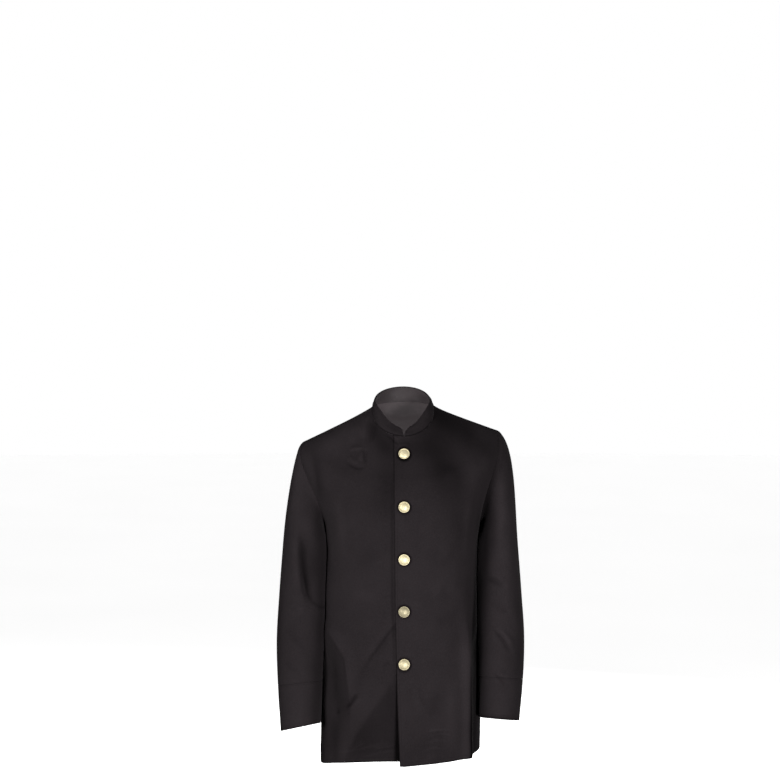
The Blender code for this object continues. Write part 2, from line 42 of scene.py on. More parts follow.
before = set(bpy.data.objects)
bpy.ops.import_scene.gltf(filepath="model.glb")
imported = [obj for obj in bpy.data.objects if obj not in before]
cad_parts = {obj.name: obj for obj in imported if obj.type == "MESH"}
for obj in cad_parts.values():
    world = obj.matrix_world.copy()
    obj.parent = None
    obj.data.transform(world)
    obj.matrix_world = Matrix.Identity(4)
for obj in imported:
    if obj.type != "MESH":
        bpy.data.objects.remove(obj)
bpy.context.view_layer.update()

# The solids' values: cloth, closure, the torso's rings, armholes, collar, sleeves
CLOTH, SLEEVE_CLOTH, COLLAR_CLOTH, LINING, SEAM = 0.0020, 0.0016, 0.0022, 0.0010, 0.0003
OVERLAP_AT, OVERLAP = (0.0, 0.22, 0.45, 1.0), (0.0092, 0.0150, 0.0195, 0.0225)
UNDERLAP = 0.018
BUTTON_COUNT, FIRST_BUTTON_Z, BUTTON_SPACING = 5, -0.1025, 0.111
# How much darker each button's gilt is, from the top button down
BUTTON_DARKENING = (0.00, 0.20, 0.15, 0.52, 0.38)

Middle = namedtuple("Middle", "at front_z front_y front_fall back_z back_y back_fall side_y")
HEM_AT, HIP_AT, WAIST_AT, ARMPIT_AT, TIP_AT, NECK_AT = 0.0, 0.22, 0.45, 0.66, 0.86, 1.0
MIDDLE = (
    Middle(HEM_AT, -0.749, -0.117, 2.0, -0.762, 0.118, 1.5, 0.016),
    Middle(HIP_AT, -0.600, -0.118, 1.5, -0.600, 0.118, 1.5, 0.016),
    Middle(WAIST_AT, -0.420, -0.113, 1.5, -0.420, 0.104, 1.5, 0.012),
    Middle(ARMPIT_AT, -0.268, -0.117, 1.5, -0.262, 0.118, 1.5, 0.006),
    Middle(TIP_AT, -0.150, -0.103, 1.5, -0.104, 0.110, 1.5, 0.004),
    Middle(NECK_AT, -0.0645, -0.072, 0.9, 0.010, 0.058, 0.7, -0.004),
)
Side = namedtuple("Side", "at z half square")
RIGHT_SIDE = (
    Side(HEM_AT, -0.780, 0.182, 3.2),
    Side(HIP_AT, -0.600, 0.182, 2.7),
    Side(WAIST_AT, -0.420, 0.174, 2.4),
    Side(ARMPIT_AT, -0.262, 0.173, 2.4),
    Side(TIP_AT, -0.0775, 0.218, 2.2),
    Side(NECK_AT, -0.007, 0.069, 2.0),
)
LEFT_SIDE = (
    Side(HEM_AT, -0.748, 0.168, 3.2),
    Side(HIP_AT, -0.600, 0.168, 3.1),
    Side(WAIST_AT, -0.420, 0.162, 2.5),
    Side(ARMPIT_AT, -0.262, 0.166, 2.4),
    Side(TIP_AT, -0.0520, 0.201, 2.2),
    Side(NECK_AT, -0.004, 0.067, 2.0),
)
BACK_SQUARE, SHOULDER_PULL, CHEST_BULGE = 2.3, 1.0, 0.006
ARMHOLE_FRONT, ARMHOLE_BACK, ARMHOLE_ROUND = 0.050, 0.055, 0.6

COLLAR_TOP = Middle(1.0, -0.046, -0.056, 2.2, 0.043, 0.051, 0.85, -0.002)
COLLAR_TOP_Z, COLLAR_TOP_HALF = 0.010, (0.0645, 0.0590)
COLLAR_END_GAP, COLLAR_SEAM, COLLAR_BELLY = 0.0012, 0.0004, 0.0015
COLLAR_END_RADIUS, COLLAR_END_HEIGHT = (0.014, 0.022), 0.06
COLLAR_LINING_TOP, COLLAR_LINING_TRIM = 0.95, 0.0035
YOKE_AT, YOKE_MARGIN = 0.72, 0.05

Arm = namedtuple("Arm", "z outer inner front_y back_y drop lift")
RIGHT_ARM = (
    Arm(-0.300, 0.2655, 0.1640, -0.062, 0.072, 0.004, 0.000),
    Arm(-0.410, 0.2738, 0.1640, -0.060, 0.074, 0.002, 0.006),
    Arm(-0.515, 0.2785, 0.1680, -0.072, 0.058, 0.004, 0.014),
    Arm(-0.602, 0.2745, 0.1748, -0.088, 0.034, 0.010, 0.020),
    Arm(-0.695, 0.2670, 0.1796, -0.104, 0.008, 0.018, 0.024),
)
LEFT_ARM = (
    Arm(-0.300, 0.2512, 0.1550, -0.064, 0.070, 0.004, 0.000),
    Arm(-0.410, 0.2595, 0.1550, -0.062, 0.072, 0.002, 0.008),
    Arm(-0.510, 0.2640, 0.1550, -0.078, 0.054, 0.002, 0.018),
    Arm(-0.590, 0.2590, 0.1570, -0.098, 0.026, 0.006, 0.024),
    Arm(-0.674, 0.2490, 0.1590, -0.118, -0.004, 0.008, 0.028),
)
# How strongly the cap holds its direction at the armhole and at the biceps, and the shares of the
# cap over which it turns from the body's direction and comes clear of the body
CAP_LEAVE, CAP_ARRIVE, CAP_TURN, CAP_CLEAR = {"right": 0.30, "left": 0.58}, 1.2, 0.06, 0.5
# How much narrower the cuff band is, how far sleeves stay clear of the body, and the cuff's seam
CUFF_INSET, BODY_GAP, CUFF_SEAM = 0.0002, 0.0016, 0.0001

# The solids' large folds on the fronts, seen from in front
Fold = namedtuple("Fold", "x0 z0 x1 z1 width height")
LEFT_FRONT_FOLDS = (
    Fold(0.137, -0.470, 0.139, -0.800, 0.010, 0.0050),
    Fold(0.157, -0.500, 0.157, -0.800, 0.011, -0.0065),
    Fold(0.040, -0.640, 0.085, -0.720, 0.030, -0.0035),
)
RIGHT_FRONT_FOLDS = (
    Fold(-0.172, -0.480, -0.135, -0.530, 0.018, 0.0040),
    Fold(-0.135, -0.530, -0.120, -0.610, 0.018, 0.0045),
    Fold(-0.168, -0.535, -0.148, -0.665, 0.020, -0.0065),
    Fold(-0.030, -0.470, -0.088, -0.570, 0.016, -0.0040),
)
# How much lower the right and left front hang at the buttons, and where the large folds fade
HEM_DROP, FOLD_FADE, FOLD_SIDE = (0.015, 0.0155), 0.030, (-0.005, -0.050)
# The slanting line (x, z) past which the right front's lower corner falls back, and how steeply
FALL_START, FALL_END, FALL_SLOPE, FALL_SOFT = (-0.012, -0.570), (-0.130, -0.745), 0.36, 0.016
# How deep the right front lies under the left one, and between which x it sinks there
UNDERLAP_SINK, UNDERLAP_BLEND = CLOTH + 2 * SEAM, (-0.052, -0.024)

Crease = namedtuple("Crease", "path left right height")


def crease_table(*rows):
    """Creases from rows of thousandths: the widths in millimetres to the left and to the right of
    the way a crease runs, how proud it stands in millimetres, and the x and z of each point that
    it runs through. A soft shade is a row of the same kind, whose third number is how much darker
    the cloth is in thousandths, and lighter where that is below 0."""
    return tuple(
        Crease(np.array(path).reshape(-1, 2) / 1000, left / 1000, right / 1000, height / 1000)
        for left, right, height, *path in rows
    )


# Smaller creases, seen from in front or from behind
OVERLAP_CREASES = crease_table(
    (3, 4, -3.4, -42, -50, -29, -64, -16, -77, -8, -84),
    (4, 5, 2.6, -36, -48, -22, -62, -10, -74),
    (3, 4, 2, -15, -85, 0, -82.5, 15, -81.5),
    (4.5, 4.5, 1.8, -16, -523.5, 8, -525, 34, -527),
    (7, 9, 1.4, -6, -206, 24, -201, 56, -203),
    (6, 8, 1.4, -6, -418, 20, -423, 48, -420),
)
LEFT_FRONT_CREASES = OVERLAP_CREASES + crease_table(
    (12, 3.6, 4, 130, -420, 134.5, -500, 138.5, -590, 139.5, -700, 139.5, -850),
    (3.6, 6, 3, 56, -685, 64, -680, 78, -680, 90, -685),
    (3.6, 4, -1.6, 60, -694, 73, -689, 88, -695),
    (3.6, 5, 2.8, 56, -706, 68, -701, 82, -707),
    (3.6, 5, 2.8, 56, -720, 68, -715, 80, -720),
    (3.6, 4.6, 2.6, 48, -737, 62, -732.5, 74, -738),
    (12, 6, 3, 22, -590, 34, -625, 56, -650),
    (12, 16, -3.4, 80, -590, 70, -630, 64, -670),
    (14, 16, 3, 100, -550, 106, -640, 105, -760),
    (30, 26, -6, 45, -50, 80, -92, 108, -150),
    (18, 22, -3.6, 108, -90, 125, -150, 122, -220),
    (10, 12, 3.4, 146, -180, 140, -250, 133, -340),
    (14, 20, -2.2, 50, -300, 80, -330, 115, -340),
    (10, 16, 2.2, 56, -400, 85, -385, 120, -390),
    (10, 14, -1.8, 70, -470, 95, -455, 120, -465),
)
RIGHT_FRONT_CREASES = OVERLAP_CREASES + crease_table(
    (3, 3.6, -3.6, -83, -88, -83.5, -107, -81.5, -126),
    (4.5, 5, 3, -90, -93, -91.5, -108, -90, -120),
    (4, 3, -3.8, -125, -112, -113, -124, -100, -130, -80, -129),
    (6, 6, 2.6, -122, -108, -109, -117, -96, -121),
    (3.6, 5, 2.4, -120, -94, -102, -90, -84, -91),
    (8, 7, 4.4, -66, -6, -80, -32, -91, -76),
    (7, 7, -3.6, -60, -8, -65, -42, -72, -82),
    (9, 12, 2.4, -98, -26, -108, -55, -118, -90),
    (12, 10, 3, -146, -170, -140, -240, -133, -330),
    (4, 13, 4.6, -176, -468, -144, -504, -122.5, -535, -116.5, -590, -114, -625),
    (3.4, 4.2, -3.6, -92, -602, -106, -616, -118, -634, -133, -642),
    (5, 6, 3, -88, -611, -103, -627, -118, -646),
    (4, 4, -3.4, -150, -642, -147, -650, -143, -658),
    (12, 14, -3.6, -170, -550, -164, -590, -156, -640),
    (11, 5, 3.4, -2, -436, -24, -464, -50, -499, -76, -535, -102, -590),
    (5, 8, -2.2, -2, -446, -22, -472, -48, -508, -72, -542),
    (3, 3.6, -2.4, -50, -550, -36, -545, -25, -540),
    (3, 3, 2.2, -73, -548, -78.5, -550, -84, -553),
    (12, 14, 3, -128, -645, -127, -700, -129, -770),
    (9, 11, -3.2, -152, -660, -154, -715, -152, -780),
    (3, 4, 3.6, -70, -722, -42, -716.5, -14, -713),
    (3, 4, 3.6, -112, -724, -97, -716, -80, -708),
    (20, 14, -1.8, -50, -300, -80, -330, -115, -338),
    (12, 16, 2, -45, -395, -80, -405, -120, -392),
)
BACK_CREASES = crease_table(
    (20, 28, 4.5, -75, -190, -86, -300, -72, -400),
    (26, 20, 3.9, 80, -175, 93, -290, 78, -395),
    (7, 11, -3.6, -128, -412, -75, -430, -15, -424),
    (9, 8, 2.1, -115, -392, -70, -408, -25, -404),
    (7, 10, -3.3, 15, -402, 70, -414, 129, -396),
    (6, 9, -2.4, 55, -436, 90, -446, 125, -434),
    (20, 28, 6, -45, -470, -54, -600, -47, -770),
    (26, 20, 6, 64, -460, 74, -600, 66, -770),
    (18, 18, -5.1, 4, -490, 13, -620, 6, -780),
    (14, 14, -5.1, 126, -500, 132, -620, 129, -770),
    (16, 14, -5.1, -123, -490, -118, -620, -124, -790),
    (12, 12, 2.4, -64, -30, -90, -60, -115, -110),
    (12, 12, 2.1, 60, -25, 90, -52, 120, -100),
    (6, 8, -2.4, -50, -14, 0, -22, 50, -13),
    (12, 16, -2.1, -30, -240, 6, -256, 42, -246),
)
# Sleeve creases: those seen from in front, then those seen from behind
RIGHT_SLEEVE_CREASES = (
    crease_table(
        (6, 11, -7.5, -228, -262, -221, -340, -215, -395, -205, -422, -184, -435),
        (12, 12, 3.6, -240, -275, -236, -345, -229, -400),
        (12, 16, 2.7, -226, -120, -236, -180, -240, -250),
        (6, 5, 2.4, -205, -432, -216, -438, -236, -436),
        (8, 10, -2.7, -262, -470, -236, -500, -206, -512),
        (6, 8, -2.1, -264, -540, -245, -560, -220, -566),
    ),
    crease_table(
        (6, 9, -4.5, -260, -352, -230, -372, -198, -374),
        (7, 9, -5.1, -262, -392, -232, -404, -200, -398),
        (6, 7, 3.3, -260, -372, -232, -388, -202, -386),
        (8, 10, -3.3, -264, -438, -236, -452, -208, -446),
        (14, 14, 3, -235, -120, -242, -200, -238, -290),
    ),
)
LEFT_SLEEVE_CREASES = (
    crease_table(
        (5, 7, -3, 172, -370, 196, -379, 224, -394),
        (6, 6, 3, 178, -362, 200, -368, 220, -378),
        (4.4, 5, -3.2, 188, -476, 211, -500, 234, -532),
        (6, 6, 3.4, 196, -470, 218, -492, 239, -520),
        (4.4, 5, -3.4, 190, -570, 206, -582, 221, -604),
        (5, 5, 3.4, 197, -565, 213, -577, 227, -598),
        (14, 16, 3.3, 208, -120, 216, -190, 220, -280),
        (9, 10, -3.6, 190, -200, 196, -270, 194, -340),
        (7, 9, -2.4, 188, -425, 208, -432, 232, -446),
    ),
    crease_table(
        (9, 6, -4.5, 190, -356, 218, -370, 248, -362),
        (9, 7, -5.1, 188, -396, 216, -412, 246, -404),
        (7, 6, 3.3, 190, -376, 216, -392, 244, -384),
        (10, 8, -3, 192, -445, 218, -458, 246, -450),
        (14, 14, 3, 212, -110, 223, -190, 226, -280),
    ),
)
# Soft shades: painted shade and painted light for the uneven light on the cloth, and painted
# shadow in its creases, along its folds and edges and in the gaps beside the sleeves
LEFT_FRONT_SHADES = crease_table(
    (30, 36, 500, 50, 10, 78, -18, 115, -40, 170, -62),
    (30, 30, 340, 115, -55, 160, -80, 210, -110),
    (40, 34, 240, 60, -40, 85, -85, 93, -135, 80, -200),
    (30, 44, 280, 125, 70, 90, 15, 50, -50, 10, -90, -50, -150, -100, -200),
    (3.6, 26, 860, 162, -200, 157, -400, 148, -490, 141, -560, 139, -640, 138.5, -1000),
    (2, 2.4, -140, 30, -684, 70, -678, 110, -684),
    (2, 2.4, -140, 42, -694, 76, -687, 112, -696),
    (2, 2.4, -120, 36, -706, 70, -700, 106, -708),
    (2, 2.4, -120, 32, -720, 64, -714, 100, -722),
    (100, 70, 170, -200, -720, 150, -720, 500, -720),
    (70, 70, 50, -200, -150, 150, -150, 500, -150),
    (40, 36, 180, 20, -100, 80, -150, 120, -220, 150, -330),
    (14, 10, -100, 120, -250, 124, -400, 125, -560, 126, -900),
    (6, 20, 420, 164, -160, 160, -330, 160, -520, 162, -700),
    (18, 18, 60, 24, -580, 32, -620, 44, -670),
    (16, 20, 50, 30, -690, 60, -712, 95, -735),
    (5, 5, 140, -12, -86, 2, -86, 16, -82),
)
RIGHT_FRONT_SHADES = crease_table(
    (15, 20, 200, -62, 0, -64, -45, -48, -84, -15, -110),
    (42, 42, 260, -10, 60, -15, -60, -25, -160, -30, -300),
    (30, 20, 120, -180, -480, -160, -535, -146, -590, -142, -660, -150, -760),
    (34, 3, 170, -220, -420, -172, -476, -146, -508, -127, -540, -120, -590, -118, -650, -118,
     -760),
    (6, 3, 180, -2, -442, -24, -470, -50, -505, -76, -541, -100, -585),
    (10, 10, 120, -76, -540, -96, -580, -108, -610),
    (2.6, 3.4, 220, -94, -604, -106, -616, -118, -634, -133, -642),
    (6, 50, 220, 20, -500, -21, -584, -49, -621, -68, -648, -96, -690, -130, -760, -160, -830),
    (14, 12, 200, -19, -540, -15, -660, -12, -900),
    (2.6, 3, -100, -170, -744, -95, -722, -10, -696),
    (2, 2.6, -120, -100, -742, -45, -727, 20, -722),
    (100, 70, 190, -450, -710, -100, -710, 250, -710),
    (70, 70, 60, -450, -150, -100, -150, 250, -150),
    (80, 80, 90, -100, 300, -100, -350, -100, -1000),
    (14, 6, 240, -178, -240, -176, -400, -178, -560, -180, -900),
    (6, 12, 260, -198, -90, -188, -140, -179, -220),
    (3, 5, 300, -24, -112, -26.2, -200, -25.8, -400, -22.5, -500, -17, -640),
    (9, 9, -160, -80, -10, -88, -40, -94, -76),
    (26, 26, -260, -90, -30, -140, -76, -200, -115),
)
BACK_SHADES = crease_table(
    (14, 20, 140, 156, -200, 160, -400, 162, -900),
    (20, 14, 140, -166, -200, -172, -400, -176, -900),
    (14, 14, 80, -60, 10, 0, -4, 60, 10),
    (20, 26, 50, -130, -430, 0, -446, 130, -430),
    (18, 18, 60, 4, -470, 10, -620, 6, -900),
)
RIGHT_SLEEVE_SHADES = crease_table(
    (14, 10, 220, -186, -120, -179, -260, -180, -420, -184, -760),
    (4.5, 10, 380, -226, -250, -218, -340, -210, -400, -202, -424, -184, -436),
    (3, 4.6, 240, -229, -280, -218, -360, -209, -408, -199, -424, -184, -436, -130, -452, -60,
     -470),
    (10, 12, 120, -210, -260, -203, -340, -196, -400),
    (6, 8, 140, -274, -200, -280, -420, -278, -800),
)
LEFT_SLEEVE_SHADES = crease_table(
    (14, 17, 740, 188, 60, 184, -120, 174, -314, 167, -400, 160, -540, 154, -860),
    (22, 20, -240, 220, -120, 226, -340, 228, -560),
    (3, 3.6, 140, 176, -374, 196, -380, 218, -390),
    (2.4, 3, 220, 186, -474, 211, -500, 230, -526),
    (2.4, 3, 220, 188, -568, 207, -584, 219, -604),
    (12, 12, -80, 224, -560, 233, -600, 230, -660),
    (6, 10, 60, 218, -80, 240, -160, 250, -300),
)
# Painted shade, where shadow falls: how much darker the cloth is at its edges, on the collar,
# under the buttons and round them, and in a crease that lies this deep, in metres
HEM_SHADE, COLLAR_SHADE, BUTTON_SHADE, FRONT_EDGE_SHADE, CUFF_SHADE = 0.30, 0.12, 0.55, 0.40, 0.45
SEAM_SHADE, CREASE_SHADE, DEEP_CREASE = 0.50, 0.14, 0.0035
SHADE_RANGE = (-0.35, 0.88)
# The metres from such an edge, or from a button's middle, over which its shade sets in
HEM_EDGE, COLLAR_FOOT, BUTTON_RING = (0.006, 0.0), (0.003, 0.0005), (0.0185, 0.0125)
FRONT_EDGE, CUFF_EDGE = (0.0030, 0.0008), (0.005, 0.0005)
# The share of its path over which a crease fades in and out, and where (y) a front's and the
# back's creases fade out toward the sides
CREASE_FADE, FRONT_CREASE_SIDE, BACK_CREASE_SIDE = 0.36, (0.022, 0.0), (0.0, 0.045)
# The same on the sleeves, by the y of the outward direction: front, back, and both faces' waves
SLEEVE_FRONT, SLEEVE_BACK, SLEEVE_WAVES = (-0.25, -0.60), (0.25, 0.60), (0.15, 0.5)
# Slow unevenness of hung cloth: waves per metre across and up, phase, height
WAVES = (
    (7.0, 3.1, 0.4, 0.00050), (11.0, -5.2, 1.9, 0.00035), (4.3, 8.7, 3.3, 0.00045),
    (17.0, 9.4, 5.1, 0.00020), (-13.0, 14.8, 0.8, 0.00018), (23.0, -4.0, 2.6, 0.00014),
)
# The turned-up hem's upper edge over the hem, the height of its step and the width of its ridge
HEM_FOLD, HEM_FOLD_HEIGHT, HEM_RIDGE = 0.033, 0.00045, 0.0022
# The dent round each shank, the ridge where a sleeve is sewn in, and the collar's slow waves
BUTTON_DENT, BUTTON_DENT_RADIUS = 0.0011, 0.0125
CAP_RIDGE, CAP_RIDGE_AT, CAP_RIDGE_WIDTH = 0.0010, 0.010, 0.007
COLLAR_EASE, COLLAR_WAVES = 0.0006, 9.0
# Where the inner face turns from cloth to lining: over the hem, behind a front's edge, in a cuff
HEM_FACING, FRONT_FACING, CUFF_FACING = (0.034, 0.036), (0.062, 0.064), (0.014, 0.016)
# How far over its seam the cuff band's allowance reaches up inside the sleeve, row by row, and
# how much narrower it is there
CUFF_TUCK = np.array([0.0060, 0.0054, 0.0042, 0.0030, 0.0016, 0.0006, 0.0001, 0.0, -0.0001])
CUFF_TUCK_INSET = 0.0024

# How finely the cloth is divided
FRONT_COLUMNS, BACK_COLUMNS, SKIRT_ROWS, ARMHOLE_ROWS, SHOULDER_ROWS = 132, 104, 196, 60, 44
CAP_ROWS, SLEEVE_ROWS, CUFF_ROWS, COLLAR_ROWS, YOKE_COLUMNS = 44, 96, 30, 22, 84
COLLAR_END_COLUMNS, COLLAR_MIDDLE_COLUMNS, BUTTON_SIDES, FLOOR_SIDES = 22, 150, 64, 96
# The first rows at an edge, in shares of the radius of its rounding
EDGE_STEPS = np.array([0.0, 0.04, 0.16, 0.45, 1.0])
# A sewn edge's rounding, how far neighbours lap there, and the metres from a seam over which
# creases fade in: at the sides, the shoulder and collar, the armhole and the cuff
SEWN_TURN, SEWN_LAP = 0.0002, 0.0003
SIDE_FADE, NECK_FADE, ARMHOLE_FADE, CUFF_FADE = 0.014, 0.005, 0.016, 0.008
# About how many metres of cloth the body, a sleeve's cap and the collar have up their rows
BODY_LENGTH, CAP_LENGTH, COLLAR_LENGTH = 0.8, 0.15, 0.05
# How many points to each side give the armhole edge its direction
ARMHOLE_REACH = 10
# Samples of a finely measured row, and the step of a slope that is taken from two points
FINE, STEP = 241, 1e-4

# Soft lamps: where they stand and aim, and their share of the key light's power. The one inside
# the neck lights the linings, and no view shows it.
Lamp = namedtuple("Lamp", "name place aim size share")
MIDDLE_OF_JACKET = (0.0, 0.0, -0.38)
LAMPS = (
    Lamp("key", (-2.60, -2.75, 0.00), MIDDLE_OF_JACKET, 0.9, 0.77),
    Lamp("front_fill", (1.00, -3.30, -1.00), MIDDLE_OF_JACKET, 0.7, 1.04),
    Lamp("top_left", (-1.60, -1.20, 2.00), (0.0, 0.0, -0.20), 0.9, 0.12),
    Lamp("back_key", (1.3, 3.6, 0.60), MIDDLE_OF_JACKET, 1.2, 0.80),
    Lamp("back_fill", (-1.3, 3.2, -0.50), MIDDLE_OF_JACKET, 1.2, 0.40),
    Lamp("neck", (0.0, -0.040, -0.150), (0.005, 0.080, -0.045), 0.10, 0.0024),
)

FLOOR_RADIUS = 30.0
# How far the stitches are from an edge, and what is added to a piece's distance from its edge
# where it has no stitched edge
STITCHES_AT, COLLAR_STITCHES_AT, NO_EDGE = 0.006, 0.0045, 2.0
# How bright each lining is painted beside the lining's colour: painted shade that evens out
# the lamps' uneven light between the collar lining and the yoke lining
YOKE_SHADE_GAIN, COLLAR_SHADE_GAIN = 0.76, 0.50

# The photograph's camera
CAMERA_PLACE, CAMERA_SENSOR, CAMERA_LENS = (-0.030, -3.2, 0.034), 36.0, 67.05


def colour_field(name, description, default):
    """A colour setting."""
    return bpy.props.FloatVectorProperty(
        name=name, description=description, subtype="COLOR", default=default, min=0.0, max=1.0
    )


def number_field(name, description, default, **limits):
    """A setting that is one number."""
    return bpy.props.FloatProperty(name=name, description=description, default=default, **limits)


class ClothSettings(bpy.types.PropertyGroup):
    """The jacket's cloth and lining."""

    colour: colour_field("Cloth", "Colour of the black cloth", (0.0235, 0.0196, 0.0213))
    lining: colour_field("Lining", "Colour of the grey lining", (0.066, 0.055, 0.058))
    creases: number_field("Creases", "Strength of the creases", 1.0, min=0.0, max=2.0)
    weave: number_field("Twill", "Width of one twill rib", 0.0009, min=0.0002, unit="LENGTH")
    stitch: number_field("Stitch", "Length of one stitch", 0.0030, min=0.001, unit="LENGTH")


class ButtonSettings(bpy.types.PropertyGroup):
    """The gilt shank buttons."""

    radius: number_field("Radius", "Radius of a button", 0.0120, unit="LENGTH")
    dome: number_field("Dome", "Height of the dome over the rim", 0.0016, unit="LENGTH")
    colour: colour_field("Gilt", "Colour of the gilding", (0.56, 0.50, 0.33))


class StageSettings(bpy.types.PropertyGroup):
    """The floor and the lights."""

    floor_height: number_field("Floor", "Height of the floor", -1.40, unit="LENGTH")
    surround: number_field("Surround", "Brightness of the white surround", 1.0, min=0.0)
    key: number_field("Key light", "Power of the large lamp in front", 100.0, unit="POWER")


def smooth_step(low, high, value):
    """0 below low, 1 above high, and an S curve between them; low may be the larger."""
    t = np.clip((value - low) / (high - low), 0, 1)
    return t * t * (3 - 2 * t)


def unit(vectors):
    """The same vectors, 1 long."""
    return vectors / np.linalg.norm(vectors, axis=-1, keepdims=True)


def hermite(start, start_slope, end, end_slope, t):
    """The cubic that leaves start along start_slope and reaches end along end_slope."""
    return (
        start * (2 * t**3 - 3 * t**2 + 1)
        + start_slope * (t**3 - 2 * t**2 + t)
        + end * (3 * t**2 - 2 * t**3)
        + end_slope * (t**3 - t**2)
    )


def smooth_columns(table, key, at):
    """The table's columns at places along it, one array for each: cubic between rows, with each
    row's slope taken across its neighbours."""
    places = np.array([getattr(row, key) for row in table])
    values = np.array(table, float)
    if places[0] > places[-1]:
        places, values = places[::-1], values[::-1]
    slopes = np.gradient(values, places, axis=0)
    at = np.asarray(at, float)
    i = np.clip(np.searchsorted(places, at) - 1, 0, len(places) - 2)
    run = (places[i + 1] - places[i])[..., None]
    t = (at - places[i])[..., None] / run
    columns = hermite(values[i], slopes[i] * run, values[i + 1], slopes[i + 1] * run, t)
    return np.moveaxis(columns, -1, 0)


def between(values, places, targets):
    """Straight-line reading of values at targets, row by row, where places rise along each row."""
    low = (places[..., None, :] <= targets[..., None]).sum(-1) - 1
    low = np.clip(low, 0, places.shape[-1] - 2)
    start, stop = (np.take_along_axis(places, low + k, -1) for k in (0, 1))
    first, last = (np.take_along_axis(values, low + k, -1) for k in (0, 1))
    return first + (last - first) * np.clip((targets - start) / (stop - start), 0, 1)


def lengths_along(points, axis):
    """How far each point of a grid is from the first one, along an axis of the grid."""
    steps = np.linalg.norm(np.diff(points, axis=axis), axis=-1)
    first = np.zeros_like(np.take(steps, [0], axis=axis))
    return np.concatenate([first, np.cumsum(steps, axis=axis)], axis=axis)


def ring(angle, middle, right, left, back_square=BACK_SQUARE):
    """Points of rings: 0 is the button line, 90 degrees the wearer's left side, 180 the middle
    of the back. In plan each quarter is a superellipse, and its height passes from the side's to
    the middle's as it nears the middle."""
    sine, cosine = np.sin(angle), np.cos(angle)
    on_left, in_front = sine >= 0, cosine >= 0
    half = np.where(on_left, left.half, right.half)
    side_z = np.where(on_left, left.z, right.z)
    depth = np.where(in_front, middle.side_y - middle.front_y, middle.back_y - middle.side_y)
    square = np.where(in_front, np.where(on_left, left.square, right.square), back_square)
    reach = ((np.abs(sine) / half) ** square + (np.abs(cosine) / depth) ** square) ** (-1 / square)
    middle_z = np.where(in_front, middle.front_z, middle.back_z)
    fall = np.where(in_front, middle.front_fall, middle.back_fall)
    toward = (np.abs(cosine) * reach / depth) ** fall
    return np.stack(
        [reach * sine, middle.side_y - reach * cosine, side_z + (middle_z - side_z) * toward], -1
    )


def table_ring(angle, at):
    """Rings of the torso's tables. at is a column of places, or one place."""
    return ring(
        angle,
        Middle(*smooth_columns(MIDDLE, "at", at)),
        Side(*smooth_columns(RIGHT_SIDE, "at", at)),
        Side(*smooth_columns(LEFT_SIDE, "at", at)),
    )


def torso(angle, at):
    """Points on the outside of the jacket's body. Up to the armpit they are the tables' rings,
    from the shoulder tips to the neck they lie on straight lines between those two rings with a
    little belly, and between armpit and tips a cubic joins both."""
    at = np.asarray(at, float)
    tip, neck, armpit = (table_ring(angle, place) for place in (TIP_AT, NECK_AT, ARMPIT_AT))
    t = np.clip((at - TIP_AT) / (NECK_AT - TIP_AT), 0, 1)
    belly = CHEST_BULGE * np.sin(math.pi * t) ** 2 * np.cos(angle) ** 2
    shoulder = tip + (neck - tip) * t[..., None]
    shoulder[..., 1] -= belly * np.sign(np.cos(angle))
    run = TIP_AT - ARMPIT_AT
    rise = (armpit - table_ring(angle, ARMPIT_AT - STEP)) / STEP * run
    s = np.clip((at - ARMPIT_AT) / run, 0, 1)[..., None]
    chest = hermite(armpit, rise, tip, (neck - tip) * SHOULDER_PULL, s)
    upper = np.where((at >= TIP_AT)[..., None], shoulder, chest)
    return np.where((at <= ARMPIT_AT)[..., None], table_ring(angle, at), upper)


def torso_normal(angle, at):
    """Outward directions of the body's surface, from its slopes along and across the rings."""
    at = np.asarray(at, float)
    along = torso(angle + STEP, at) - torso(angle - STEP, at)
    high, low = np.minimum(at + STEP, NECK_AT), np.maximum(at - STEP, HEM_AT)
    return unit(np.cross(along, torso(angle, high) - torso(angle, low)))


def angle_where(at, start, end, column, value):
    """The angle between start and end at which each ring's x (column 0) or y (column 1) is
    value."""
    angles = np.linspace(start, end, FINE)[None] + np.zeros_like(at)
    places = torso(angles, at)[..., column]
    if places[0, 0] > places[0, -1]:
        angles, places = angles[:, ::-1], places[:, ::-1]
    return between(angles, places, value + np.zeros_like(at))


def armhole_angle(at, quarter):
    """Where each ring stops at the armhole, for the quarter from its middle line (first angle) to
    its side line (second angle). The cut reaches furthest halfway up the armhole."""
    middle_angle, side_angle = quarter
    t = np.clip((at - ARMPIT_AT) / (TIP_AT - ARMPIT_AT), 0, 1)
    share = np.abs(np.sin(math.pi * t)) ** ARMHOLE_ROUND * ((t > 0) & (t < 1))
    side_y = torso(np.full_like(at, side_angle), at)[..., 1]
    reach = -ARMHOLE_FRONT if math.cos(middle_angle) > 0 else ARMHOLE_BACK
    return angle_where(at, middle_angle, side_angle, 1, side_y + reach * share)


LEFT_FRONT_QUARTER, RIGHT_FRONT_QUARTER = (0.0, math.pi / 2), (0.0, -math.pi / 2)
LEFT_BACK_QUARTER, RIGHT_BACK_QUARTER = (math.pi, math.pi / 2), (math.pi, 3 * math.pi / 2)


def left_front_ends(at):
    """From the overlap's edge to the left side seam, armhole or shoulder seam."""
    edge = -np.interp(at, OVERLAP_AT, OVERLAP)
    return angle_where(at, -math.pi / 6, 0.0, 0, edge), armhole_angle(at, LEFT_FRONT_QUARTER)


def right_front_ends(at):
    """From the underlap's edge to the right side seam, armhole or shoulder seam."""
    edge = np.full_like(at, UNDERLAP)
    return angle_where(at, 0.0, math.pi / 6, 0, edge), armhole_angle(at, RIGHT_FRONT_QUARTER)


def back_ends(at):
    """From the left side seam, armhole or shoulder seam to the right one."""
    return armhole_angle(at, LEFT_BACK_QUARTER), armhole_angle(at, RIGHT_BACK_QUARTER)


